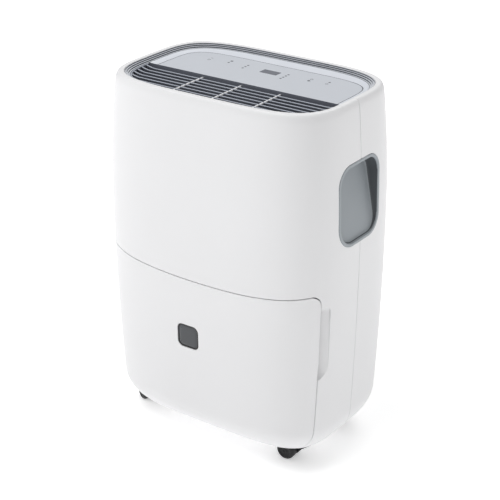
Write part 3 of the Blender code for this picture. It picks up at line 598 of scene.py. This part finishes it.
def bucket_distance(x, y, z, grow):
    """How far outside the bucket's outline, grown by this much, a place on the skin is."""
    radius = BUCKET_CORNER_R
    across = y - (BUCKET_EDGE_Y + grow - radius)
    above = z - (BUCKET_CORNER_Z + grow - radius)
    outside = np.where(
        (across > 0) & (above > 0), np.hypot(across, above) - radius, np.maximum(across, above) - radius
    )
    return np.maximum(z - seam_z(x) - grow, outside)


def seam_height(kind, value, side, edge, grow):
    """The height at which this column of the skin meets the bucket's outline."""
    lowest = BUCKET_CORNER_Z + grow - BUCKET_CORNER_R
    low, high = lowest - 1e-6, 0.30
    for _ in range(50):
        middle = 0.5 * (low + high)
        x, y = skin_point(kind, value, side, -1, edge, np.array([middle]), 0.0)
        if bucket_distance(x, y, np.array([middle]), grow)[0] > 0:
            high = middle
        else:
            low = middle
    return 0.5 * (low + high)


NEAR_EDGE = np.array([0.0, 0.0001, 0.00025, 0.0005, 0.0008, 0.0012, 0.0020])
SHOULDER_Z = HEIGHT - SHOULDER_ROUND
TOP_LEVELS = [HEIGHT - SHOULDER_ROUND * (1 - math.sin(math.pi / 2 * k / 9)) for k in range(1, 10)]
# (height, inset) over the rounded crest of the lip, from its outer side to its inner side
CREST = (
    (HEIGHT, 0.0136),
    (HEIGHT, 0.0150),
    (HEIGHT, 0.0165),
    (HEIGHT - 0.00008, 0.0171),
    (HEIGHT - 0.0003, 0.0175),
    (HEIGHT - 0.0007, 0.01775),
    (HEIGHT - 0.0013, LIP_IN),
    (LIP_UNDER_Z + 0.0002, LIP_IN),
)


def base_rows(points):
    """Levels from the skirt's edge up round the base, closer together where it curves most."""
    turn = np.linspace(0.55, 1.5708, points)
    return np.concatenate([SKIRT_Z + NEAR_EDGE, BASE_Z + BASE_ROUND * (1 - np.cos(turn))])


def both_sides(half):
    """Columns right round from the left edge to the right one, from those of the right half."""
    return [(kind, value, -side, end) for kind, value, side, end in half] + half[-2::-1]


def grid(columns, row_sets, edge, fade):
    """A cover's outer and inner grids; fade(x, y, z) is the distance to its nearest rounded edge."""
    outer, inner = [], []
    for (kind, value, side, end), levels in zip(columns, row_sets):
        z = np.asarray(levels, float)
        x, y = skin_point(kind, value, side, end, edge, z, 0.0)
        roll = SEAM_ROUND * quarter(fade(x, y, z) / SEAM_ROUND)
        x, y = skin_point(kind, value, side, end, edge, z, roll)
        outer.append(np.stack([x, y, z], 1))
        x, y = skin_point(kind, value, side, end, edge, np.minimum(z, LIP_UNDER_Z), WALL + 0 * z)
        inner.append(np.stack([x, y, np.minimum(z, LIP_UNDER_Z)], 1))
    return np.array(outer), np.array(inner)


def add_lip(columns, outer, inner, edge, fade):
    """Carries a cover's grids over the crest of the lip and down its inner side."""
    tops, unders = [], []
    base = np.array([HEIGHT])
    for k, (kind, value, side, end) in enumerate(columns):
        top, under = [], []
        for level, inward in CREST:
            x, y = skin_point(kind, value, side, end, edge, base, inward - inset(base))
            drop = SEAM_ROUND * quarter(fade(x, y, base) / SEAM_ROUND)[0]
            top.append((x[0], y[0], level - drop * (inward < LIP_IN)))
            depth = max(inward, float(inset(LIP_UNDER_Z)) + WALL + 0.0002)
            x, y = skin_point(kind, value, side, end, edge, base, min(depth, LIP_IN) - inset(base))
            under.append((x[0], y[0], LIP_UNDER_Z))
        tops.append(top)
        unders.append(under)
    return np.concatenate([outer, tops], 1), np.concatenate([inner, unders], 1)


def strip_values(edge):
    """Depths of the columns along a flat side, closer together at both ends."""
    near = FIT + NEAR_EDGE
    far = edge - NEAR_EDGE[::-1]
    middle = np.linspace(near[-1] + 0.003, far[0] - 0.003, int((edge - 0.01) / 0.0035))
    return np.concatenate([near, middle, far])


def grip_outline(shrink, arc_points=20):
    """A rectangle with round corners, the lower front one rounder than the rest."""
    outline = []
    corners = ((1, 1, GRIP_R), (0, 1, GRIP_R), (0, 0, GRIP_FRONT_LOW_R), (1, 0, GRIP_R))
    for quarter_turn, (back, top, radius) in enumerate(corners):
        centre = (GRIP_Y[back] + (-radius if back else radius), GRIP_Z[top] + (-radius if top else radius))
        outline += circle(centre, radius - shrink, arc_points, quarter_turn * math.pi / 2, math.pi / 2)
    return outline


def grip_cutter(side):
    """The hole for a hand grip, as a Boolean step."""
    outline = grip_outline(-FIT, 24)
    return ("DIFFERENCE", prism_mesh(f"grip_hole_{side}", outline, "X", *sorted((side * 0.14, side * 0.2))))


def recess_outline(back):
    """A finger recess from the side: square at the bucket, with a long curve at its lower end."""
    low, high = RECESS_Z
    run_out, rise, corner = 0.014, 0.026, 0.009
    points = [(-0.12, low)]
    for k in range(17):
        turn = math.radians(-90 + 90 * k / 16)
        points.append((back - run_out + run_out * math.cos(turn), low + rise + rise * math.sin(turn)))
    points += circle((back - corner, high - corner), corner, 16, 0.0, math.pi / 2)
    return points + [(-0.12, high)]


def recess_steps(side):
    """A finger recess beside the bucket's edge, as Boolean steps: a block behind the skin, hollowed out."""
    low, high = RECESS_Z
    floor_x, margin = 0.1575, 0.003
    depths = np.linspace(BUCKET_EDGE_Y + SEAM + 0.0004, RECESS_BACK_Y + margin, 7)
    layers = []
    for level in np.linspace(low - margin, high + margin, 16):
        layer = [(side * (skin_x(y, level) - 0.0008), y, level) for y in depths]
        layers.append(layer + [(side * floor_x, depths[-1], level), (side * floor_x, depths[0], level)])
    block = rings_mesh(f"scoop_block_{side}", layers)
    slope = ((0.1602, -0.0085), (0.1640, -0.0050), (0.1690, 0.0), (0.20, 0.001))
    rings = [lay(recess_outline(RECESS_BACK_Y + shift), "X", side * x) for x, shift in slope]
    return [("UNION", block), ("DIFFERENCE", rings_mesh(f"scoop_hollow_{side}", rings))]


def front_cover():
    """The front shell: full height at the sides, and open below the bucket's arched edge between them."""
    edge = -BUCKET_EDGE_Y - SEAM
    strip = strip_values(edge)
    half = [("side", v, 1, -1) for v in strip] + [("sweep", s, 1, -1) for s in sweep_shares(edge)[1:]]
    columns = both_sides(half)
    zone = BUCKET_CORNER_Z + SEAM - BUCKET_CORNER_R
    low_rows = base_rows(10)
    low_rows = np.concatenate([low_rows, np.linspace(low_rows[-1] + 0.006, zone - 0.006, 30)])
    row_sets = []
    for kind, value, side, end in columns:
        start = zone if kind == "side" else seam_height(kind, value, side, edge, SEAM)
        near = start + NEAR_EDGE
        far = near[-1] + (SHOULDER_Z - near[-1]) * np.linspace(0.0, 1.0, 42)[1:]
        row_sets.append(np.concatenate([low_rows, near, far, TOP_LEVELS]))

    def fade(x, y, z):
        return np.minimum(np.abs(y) - FIT, np.maximum(bucket_distance(x, y, z, SEAM), 0))

    outer, inner = grid(columns, row_sets, edge, fade)
    outer, inner = add_lip(columns, outer, inner, edge, fade)
    cells = np.ones((outer.shape[0] - 1, outer.shape[1] - 1), bool)
    first, last = len(strip) - 1, len(columns) - len(strip)
    cells[first:last, : len(low_rows)] = False
    mesh = thick_patch("front_shell", outer, inner, cells)
    steps = [grip_cutter(-1), grip_cutter(1), *recess_steps(-1), *recess_steps(1)]
    shell = new_object("front_shell", carve(mesh, steps), WHITE, "cabinet")
    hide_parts("front_cover")


def rear_cover():
    """The rear shell, with holes for the grips, the intake grille, the drain outlet and the cord gland."""
    edge = REAR_SWEEP_Y
    half = [("side", v, 1, 1) for v in strip_values(edge)]
    half += [("sweep", s, 1, 1) for s in sweep_shares(edge)[1:]]
    columns = both_sides(half)
    rows = base_rows(10)
    rows = np.concatenate([rows, np.linspace(rows[-1], SHOULDER_Z, 64)[1:], TOP_LEVELS])

    def fade(x, y, z):
        return np.abs(y) - FIT

    outer, inner = grid(columns, [rows] * len(columns), edge, fade)
    outer, inner = add_lip(columns, outer, inner, edge, fade)
    cells = np.ones((outer.shape[0] - 1, outer.shape[1] - 1), bool)
    mesh = thick_patch("rear_shell", outer, inner, cells)
    opening = grown_box(*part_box("intake_grille"), 0.0005, 0.012, 10)
    drain = circle(box_centre(*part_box("drain_outlet")), 0.0085, 32)
    gland = circle(box_centre(*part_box("cord_gland")), 0.0068, 32)
    steps = [
        grip_cutter(-1),
        grip_cutter(1),
        ("DIFFERENCE", prism_mesh("intake_hole", opening, "Y", 0.08, 0.2)),
        ("DIFFERENCE", prism_mesh("drain_hole", drain, "Y", 0.09, 0.2)),
        ("DIFFERENCE", prism_mesh("gland_hole", gland, "Y", 0.08, 0.2)),
    ]
    shell = new_object("rear_shell", carve(mesh, steps), WHITE, "cabinet")
    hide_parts("rear_cover")


def bucket_front():
    """The bucket's front panel, which carries the cabinet's skin on below the arched seam."""
    edge = -BUCKET_EDGE_Y
    columns = both_sides([("sweep", s, 1, -1) for s in sweep_shares(edge)])
    low_rows = base_rows(12)
    row_sets = []
    for kind, value, side, end in columns:
        top = seam_height(kind, value, side, edge, 0.0)
        near = top - NEAR_EDGE[::-1]
        middle = np.linspace(low_rows[-1], near[0], 52)[1:-1]
        row_sets.append(np.concatenate([low_rows, middle, near]))

    def fade(x, y, z):
        return np.maximum(-bucket_distance(x, y, z, 0.0), 0)

    outer, inner = grid(columns, row_sets, edge, fade)
    cells = np.ones((outer.shape[0] - 1, outer.shape[1] - 1), bool)
    mesh = thick_patch("bucket_panel", outer, inner, cells)
    outline = grown_box(*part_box("water_window"), FIT, 0.0083, 16)
    mesh = carve(mesh, [("DIFFERENCE", prism_mesh("window_hole", outline, "Y", -0.2, -0.1))])
    panel = new_object("bucket_panel", mesh, WHITE, "bucket")
    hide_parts("bucket_front")


def water_window():
    """The level window: a smoked lens in a black frame, set just below the panel's face."""
    low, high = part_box("water_window")
    centre = box_centre(low, high)
    half = (high.x - low.x) / 2

    def ring(shrink, back):
        outline = rounded_box(
            (centre[0] - half + shrink, centre[0] + half - shrink),
            (centre[1] - half + shrink, centre[1] + half - shrink),
            max(0.008 - shrink, 0.002),
            16,
        )
        return [(x, -(skin_y(x, z) - back), z) for x, z in outline]

    frame_rings = [ring(0.0, 0.0024), ring(0.0, 0.0008), ring(0.0003, 0.0004), ring(0.0008, 0.0003)]
    frame_rings += [ring(0.0018, 0.0003), ring(0.0021, 0.0005), ring(0.0022, 0.0024)]
    rim = rings_mesh("window_frame", frame_rings, closed=True)
    new_object("window_frame", rim, BLACK, "bucket")
    lens_rings = [ring(0.0023, 0.0024), ring(0.0023, 0.0008), ring(0.0027, 0.0006), ring(0.006, 0.0005)]
    lens_rings += [ring(0.010, 0.00045), ring(0.014, 0.00043)]
    lens = new_object("window_lens", rings_mesh("window_lens", lens_rings), LENS, "bucket")
    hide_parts("water_window")


# ---------------------------------------------------------------- side grips


# (shrink, proud of the skin) round the cup's rim, and (shrink, proud of its floor) round its fillet
GRIP_BACK_OF_RIM = ((0.0027, -0.0030), (0.0, -0.0026))
GRIP_RIM_ROUND = (
    (0.0, 0.0),
    (0.00015, 0.0004),
    (0.0005, 0.0006),
    (0.0012, 0.00065),
    (0.0028, 0.00065),
    (0.0036, 0.00055),
    (0.0041, 0.0002),
    (0.0044, -0.0004),
    (0.0045, -0.0011),
)
GRIP_FILLET = ((0.0046, 0.0042), (0.0049, 0.0026), (0.0056, 0.0013), (0.0068, 0.0004))
GRIP_FLOOR = ((0.0085, 0.0), (0.015, 0.0), (0.0245, 0.0))
GRIP_BACK = ((0.030, -0.002), (0.0030, -0.002))


def grip_cup(side):
    """A hand grip: a cup with a rounded rim, a floor that leans in towards the top, and walls painted darker
    as painted shade.
    """
    word = "right" if side > 0 else "left"

    def on_skin(shrink, proud):
        return [(side * (skin_x(y, z) + proud), y, z) for y, z in grip_outline(shrink)]

    def on_floor(shrink, out):
        points = []
        for y, z in grip_outline(shrink):
            floor_x = GRIP_FLOOR_TOP_X + GRIP_FLOOR_SLOPE * (GRIP_Z[1] - z)
            points.append((side * min(floor_x + out, skin_x(y, z) - 0.0012), y, z))
        return points

    rings = [on_floor(*step) for step in GRIP_BACK]
    rings += [on_skin(*step) for step in GRIP_BACK_OF_RIM + GRIP_RIM_ROUND]
    rings += [on_floor(*step) for step in GRIP_FILLET + GRIP_FLOOR]
    cup = new_object(f"grip_cup_{word}", rings_mesh(f"grip_cup_{word}", rings), GRIP, "cabinet")
    # Painted shade: the steep walls inside the cup get the dark grey material, standing in for the shade that
    # falls in the pocket.
    cup.data.materials.append(GRIP_PAINTED_SHADE)
    for face in cup.data.polygons:
        inside = side * face.center.x < skin_x(face.center.y, face.center.z) - 0.0008
        if inside and abs(face.normal.x) < 0.55:
            face.material_index = 1
    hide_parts(f"handle_cup_{word}")


# ---------------------------------------------------------------- top deck


def top_ring():
    """The stepped ring inside the lip: three treads whose edges are rounded."""
    level, under, edge = HEIGHT - 0.0008, DECK_Z - 0.004, 0.0002
    profile = [(LIP_IN + FIT, under), (LIP_IN + FIT, level)]
    for inward, following in zip(STEP_INSETS, STEP_LEVELS):
        profile += [(inward - edge, level), (inward, level - edge), (inward, following)]
        level = following
    profile += [(FRAME_IN - edge, level), (FRAME_IN, level - edge), (FRAME_IN, under)]
    rings = [at_height(even_plan(inward), z) for inward, z in profile]
    mesh = rings_mesh("stepped_ring", rings, closed=True)
    ring = new_object("stepped_ring", mesh, BAND, "cabinet")
    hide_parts("top_frame")


def slat(name, y, low_z):
    """One leaning slat: its ends rise with the deck's edge to the frame."""
    reach = float(plan_x(y + 0.002, FRAME_IN + 0.0010)) - 0.0002
    end, rise = 0.0145, 0.0029
    stations = np.concatenate([np.linspace(-reach, -reach + 0.016, 12), np.linspace(-reach + 0.020, 0, 14)])
    stations = np.concatenate([stations, -stations[-2::-1]])
    foot = low_z + 0.0004
    crest = ((0.0024, -0.0018), (0.0020, -0.0011), (0.0013, -0.0007))
    crest += ((-0.0003, -0.0007), (-0.0008, -0.0010), (-0.0009, -0.0018))
    rings = []
    for x in stations:
        lift = rise * max(0.0, 1 - (reach - abs(x)) / end) ** 1.6
        ring = [(x, y + 0.0026, foot), (x, y + 0.0044, foot)]
        rings.append(ring + [(x, y + dy, DECK_Z + dz + lift) for dy, dz in crest])
    return rings_mesh(name, rings)


def grille_rim(low_z, back_y):
    """The upright rim that follows the frame round the grille's sides and front."""
    outer = even_plan(FRAME_IN + FIT)
    inner = even_plan(FRAME_IN + FIT + 0.0018)
    keep = [i for i in range(len(outer)) if max(outer[i][1], inner[i][1]) < back_y - 0.0002]
    start = max(range(len(keep)), key=lambda k: keep[k] - keep[k - 1] if k else 0)
    top = FRAME_Z - 0.0004
    rings = []
    for i in keep[start:] + keep[:start]:
        o, n = outer[i], inner[i]
        ring = [(*o, low_z), (*o, top - 0.0003), (*(0.8 * o + 0.2 * n), top)]
        rings.append(ring + [(*(0.2 * o + 0.8 * n), top), (*n, top - 0.0003), (*n, low_z)])
    return rings_mesh("grille_rim", rings)


def top_grille():
    """Thin leaning slats between the frame and a low bar at the panel's edge."""
    low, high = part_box("outlet_grille")
    first_y = high.y - 0.0015 + 0.0022
    shells = [slat(f"slat_{k}", first_y - SLAT_PITCH * (k + 1), low.z) for k in range(SLAT_COUNT)]
    shells.append(grille_rim(low.z, high.y))
    reach = float(plan_x(high.y, FRAME_IN + FIT)) - 0.0004
    top = DECK_Z - 0.0034
    bar = [(high.y, low.z), (high.y, top), (high.y - 0.0012, top), (high.y - 0.0015, top - 0.0003)]
    bar += [(high.y - 0.0015, low.z)]
    shells.append(rings_mesh("grille_back_bar", [[(x, y, z) for y, z in bar] for x in (-reach, reach)]))
    grille = new_object("air_grille", merge("air_grille", shells), SLAT, "cabinet")
    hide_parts("outlet_grille")


def grille_bars():
    """Three light bars, set a little lower than the slats' tops so that the slats cross over them."""
    low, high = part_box("grille_ribs")
    top, edge = DECK_Z - 0.0008, RIB_HALF - 0.0004
    section = [(-RIB_HALF, -0.0020), (-RIB_HALF, -0.0005), (-edge, 0.0)]
    section += [(edge, 0.0), (RIB_HALF, -0.0005), (RIB_HALF, -0.0020)]
    shells = []
    for k, x in enumerate(RIB_X):
        rings = [[(x + dx, y, top + dz) for dx, dz in section] for y in np.linspace(low.y, high.y, 24)]
        shells.append(rings_mesh(f"bar_{k}", rings))
    bars = new_object("grille_bars", merge("grille_bars", shells), WHITE, "cabinet")
    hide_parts("grille_ribs")


def at_height(outline, z):
    return np.column_stack([outline, np.full(len(outline), z)])


def overlay_around(grow, z):
    """The touch sheet's outline, grown by this much, at a height."""
    outline = superellipse(OVERLAY_HALF_WIDTH + grow, OVERLAY_BACK_Y + grow, OVERLAY_POWER, 384)
    return at_height(outline, z)


def clipped(mesh, front):
    """What of a mesh lies behind this y."""
    region = rounded_box((-0.3, 0.3), (front, 0.3), 0.0001, 2)
    return carve(mesh, [("INTERSECT", prism_mesh("region", region, "Z", 0.3, 0.7))])


def panel_dish():
    """The silver deck itself: flat under the touch sheet's edge, and rising to the ring."""
    top, edge = FRAME_Z - 0.0003, FRAME_IN + FIT
    rim = superellipse(HALF_WIDTH - edge, HALF_DEPTH - edge, PLAN_POWER, 384)
    floor = overlay_around(0.0012, 0.0)[:, :2]
    steps = [(0.0, DECK_Z - 0.003), (0.0, top - 0.0004), (0.02, top - 0.0001), (0.05, top)]
    steps += [(share, DECK_Z + (top - DECK_Z) * (1 - share) ** 1.5) for share in np.linspace(0.12, 1.0, 14)]
    return rings_mesh("panel_body", [at_height((1 - share) * rim + share * floor, z) for share, z in steps])


def control_panel():
    """The silver deck with its touch sheet in a shallow tray, a dark strip round the sheet that paints the
    shade in the gap, and the display.
    """
    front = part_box("control_panel")[0].y
    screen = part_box("display_lens")
    hole = grown_box(*screen, 0.0002, 0.0006, 5, upright=False)
    hole_a, hole_b = (prism_mesh(f"screen_hole_{k}", hole, "Z", 0.4, 0.6) for k in "ab")
    tray = [overlay_around(0.0010, DECK_Z - 0.0013), overlay_around(0.0010, DECK_Z + 0.01)]
    tray = clipped(rings_mesh("panel_tray", tray), front + 0.0010)
    body = carve(clipped(panel_dish(), front), [("DIFFERENCE", tray), ("DIFFERENCE", hole_a)])
    panel = new_object("deck_panel", body, SILVER, "cabinet")
    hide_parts("control_panel")

    sheet = rings_mesh("touch_sheet", [overlay_around(0.0, DECK_Z - 0.0009), overlay_around(0.0, DECK_Z)])
    sheet = carve(clipped(sheet, front + 0.0012), [("DIFFERENCE", hole_b)])
    overlay = new_object("touch_overlay", sheet, OVERLAY, "cabinet")
    round_edges(overlay, 0.00015)
    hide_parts("panel_overlay")

    # Painted shade: a dark strip under the sheet's edge darkens the gap round the sheet.
    bottom, top = DECK_Z - 0.00128, DECK_Z - 0.00012
    gap_shade_strip = [overlay_around(0.00095, bottom), overlay_around(0.00095, top)]
    gap_shade_strip += [overlay_around(0.00005, top), overlay_around(0.00005, bottom)]
    gap_shade_strip = clipped(rings_mesh("sheet_gap_shade", gap_shade_strip, closed=True), front + 0.0014)
    new_object("sheet_gap_shade", gap_shade_strip, PRINT_INK_AND_GAP_SHADE, "cabinet")

    pane = grown_box(*screen, 0.0, 0.0005, 5, upright=False)
    pane = prism_mesh("screen", pane, "Z", DECK_Z - 0.005, DECK_Z + 0.00002)
    lens = new_object("screen", pane, SCREEN, "cabinet")
    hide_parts("display_lens")


def mark(shape, x, y, size):
    """A small generic printed sign: a ring, a bar, a dot, or a drop."""
    bottom, top = DECK_Z + 0.00001, DECK_Z + 0.00005
    if shape == "ring":
        line = 0.0006
        levels = ((size / 2, bottom), (size / 2, top), (size / 2 - line, top), (size / 2 - line, bottom))
        rings = [lay(circle((x, y), radius, 24), "Z", z) for radius, z in levels]
        return rings_mesh("mark", rings, closed=True)
    if shape == "dot":
        outline = circle((x, y), size / 2, 12)
    elif shape == "bar":
        outline = rounded_box((x - size / 2, x + size / 2), (y - 0.0004, y + 0.0004), 0.0003, 3)
    else:
        outline = circle((x, y - size * 0.1), size * 0.35, 14, math.radians(-210), math.radians(240))
        outline.append((x, y + size * 0.6))
    return prism_mesh("mark", outline, "Z", bottom, top)


# (x, y, signs from front to back, spacing, size)
SIGNS = (
    (-0.0987, 0.0515, ("ring", "bar"), 0.0072, 0.0042),
    (-0.0688, 0.0555, ("drop", "dot"), 0.0072, 0.0042),
    (0.0619, 0.0511, ("dot", "ring"), 0.0072, 0.0042),
    (0.0877, 0.0536, ("ring", "drop"), 0.0072, 0.0042),
    (-0.0396, 0.0495, ("dot",) * 3, 0.0064, 0.0032),
    (0.0266, 0.0441, ("dot",) * 4, 0.0062, 0.0032),
)


def panel_marks():
    shells = []
    for x, y, shapes, spacing, size in SIGNS:
        for k, shape in enumerate(shapes):
            shells.append(mark(shape, x, y + (k - 0.5 * (len(shapes) - 1)) * spacing, size))
    new_object("panel_marks", merge("panel_marks", shells), PRINT_INK_AND_GAP_SHADE, "cabinet")


# ---------------------------------------------------------------- casters


def lathe(name, profile, steps=48):
    """A solid turned about the Y axis: profile is (radius, y), from the axis and back to it."""
    rings = []
    for k in range(steps):
        a = math.tau * k / steps
        rings.append([(r * math.cos(a), y, r * math.sin(a)) for r, y in profile])
    return rings_mesh(name, rings, closed=True)


def wheel_profile(wheel_r, inner, outer):
    """A caster wheel's section, as (radius, distance from the fork's middle)."""
    bore, cap = 0.00195, outer - 0.0001
    tread = [(bore, inner), (wheel_r - 0.0012, inner), (wheel_r - 0.0003, inner + 0.0004)]
    tread += [(wheel_r, inner + 0.0012), (wheel_r, outer - 0.0042), (wheel_r - 0.0004, outer - 0.0026)]
    rim = [(wheel_r - 0.0013, outer - 0.0012), (wheel_r - 0.0025, outer - 0.0004), (wheel_r - 0.0040, outer)]
    rim += [(wheel_r - 0.0046, outer - 0.0003), (wheel_r - 0.0050, outer - 0.0010)]
    return tread + rim + [(0.0042, outer - 0.0012), (0.0038, outer - 0.0004), (0.0030, cap), (bore, cap)]


def caster_fork(trail, wheel_r):
    """The fork's web between the wheels, with its swivel plate, stem and axle, about the swivel axis."""
    top = FORK_TOP_Z
    profile = [(-0.0078, top), (-0.0078, top - 0.0030), (-0.0040, top - 0.0058), (trail - 0.0100, 0.0090)]
    profile += circle((trail, wheel_r), 0.0055, 14, math.radians(215), math.radians(180))
    profile += [(trail + 0.0062, 0.0180), (trail + 0.0050, top - 0.0030), (trail + 0.0044, top)]
    web = prism_mesh("web", profile, "Y", -FORK_HALF, FORK_HALF)
    levels = ((0.0095, top - 0.0010), (0.0110, top - 0.0009), (0.0115, top - 0.0005), (0.0115, top))
    plate = rings_mesh("plate", [lay(circle((0, 0), r, 40), "Z", z) for r, z in levels])
    stem = prism_mesh("stem", circle((0, 0), 0.0040, 24), "Z", top - 0.0005, 0.0415)
    pin = prism_mesh("pin", circle((trail, wheel_r), 0.0016, 20), "Y", -0.0135, 0.0135)
    return carve(web, [("UNION", plate), ("UNION", stem), ("UNION", pin)])


def caster(word):
    """A twin-wheel caster, set where the record's swivel and roll joints are."""
    joints = {j["name"]: j for j in frame["record"]["behaviour"]["joints"]}
    pivot = Vector(joints[f"caster_swivel_{word}"]["pos_m"])
    roll = joints[f"wheel_roll_{word}_a"]
    hub = Vector(roll["pos_m"])
    axle = Vector(roll["axis"])
    turned = Matrix.Rotation(math.atan2(-axle.x, axle.y), 4, "Z")
    trail = math.hypot(hub.x - pivot.x, hub.y - pivot.y)
    inner = FORK_HALF + 0.0006
    for side, letter in ((-1, "a"), (1, "b")):
        profile = wheel_profile(hub.z, inner, inner + WHEEL_WIDTH)
        mesh = lathe(f"wheel_{word}_{letter}", [(r, side * y) for r, y in profile])
        wheel = new_object(f"wheel_{word}_{letter}", mesh, TYRE, f"wheel_{word}_{letter}")
        mesh.transform(Matrix.Translation(hub) @ turned)
        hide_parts(f"caster_wheel_{word}_{letter}")
    mesh = caster_fork(trail, hub.z)
    mesh.transform(Matrix.Translation((pivot.x, pivot.y, 0.0)) @ turned)
    fork = new_object(f"fork_{word}", mesh, BLACK, f"caster_{word}")
    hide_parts(f"caster_fork_{word}")


# ---------------------------------------------------------------- set


SOFTBOX_DISTANCE, SOFTBOX_AIM = 2.4, Vector((0, 0, 0.25))
# (name, azimuth, elevation, size in metres, power)
SOFTBOXES = (
    ("softbox_left", -60, 20, 1.6, 6.0),
    ("softbox_right_rear", 115, 20, 1.4, 4.6),
    ("softbox_front_above", -30, 65, 1.6, 30.0),
    ("softbox_rear_above", 180, 60, 1.6, 17.0),
)


def direction(azimuth, elevation):
    """The direction towards a place that is this far round from the front and this far up, in degrees."""
    around, up = math.radians(azimuth), math.radians(elevation)
    return Vector((math.sin(around) * math.cos(up), -math.cos(around) * math.cos(up), math.sin(up)))


def studio_floor():
    """A pale paper floor, a little brighter away from the object, as under wide overhead light."""
    far = 6.0
    corners = [(-far, -far, 0), (far, -far, 0), (far, far, 0), (-far, far, 0)]
    mesh = bpy.data.meshes.new("studio_floor")
    mesh.from_pydata(corners, [], [(0, 1, 2, 3)])
    floor = bpy.data.objects.new("studio_floor", mesh)
    bpy.context.scene.collection.objects.link(floor)
    paper = Nodes("studio_paper")
    reach = paper.add("ShaderNodeVectorMath", operation="LENGTH")
    paper.link(paper.place, reach.inputs[0])
    glow = paper.remap(reach.outputs["Value"], 0.42, 0.8, 0.22, 1.4)
    paper.link(glow, paper.shader.inputs["Emission Strength"])
    paper.set(Roughness=0.9, Emission_Color=(1, 1, 1, 1))
    paper.colour(paper.blend(paper.noise(300.0), (0.88, 0.88, 0.88), (0.92, 0.92, 0.92)))
    mesh.materials.append(paper.material)


def softbox(name, azimuth, elevation, size, power):
    light = bpy.data.lights.new(name, "AREA")
    light.shape = "RECTANGLE"
    light.size, light.size_y = size, size
    light.energy = power
    obj = bpy.data.objects.new(name, light)
    obj.location = SOFTBOX_AIM + SOFTBOX_DISTANCE * direction(azimuth, elevation)
    obj.rotation_euler = (SOFTBOX_AIM - obj.location).to_track_quat("-Z", "Y").to_euler()
    bpy.context.scene.collection.objects.link(obj)


def studio():
    studio_floor()
    world = bpy.data.worlds.new("studio_world")
    world.use_nodes = True
    background = world.node_tree.nodes["Background"]
    background.inputs["Color"].default_value = (1, 1, 1, 1)
    background.inputs["Strength"].default_value = 0.30
    for settings in SOFTBOXES:
        softbox(*settings)

    scene = bpy.context.scene
    scene.world = world
    scene.view_settings.view_transform = "Standard"
    scene.view_settings.look = "None"
    back = direction(CAMERA_AZIMUTH, CAMERA_ELEVATION)
    lens = bpy.data.cameras.new("camera")
    lens.lens = CAMERA_LENS
    lens.sensor_width = 36.0
    lens.clip_end = 50.0
    camera = bpy.data.objects.new("camera", lens)
    camera.location = Vector(CAMERA_TARGET) + back * CAMERA_DISTANCE
    camera.rotation_euler = (-back).to_track_quat("-Z", "Y").to_euler()
    scene.collection.objects.link(camera)
    scene.camera = camera


studio()
dress_cad_nodes()
soften_cad_edges()
front_cover()
rear_cover()
bucket_front()
water_window()
for each_side in (-1, 1):
    grip_cup(each_side)
top_ring()
top_grille()
grille_bars()
control_panel()
panel_marks()
for corner_name in ("front_left", "front_right", "rear_left", "rear_right"):
    caster(corner_name)
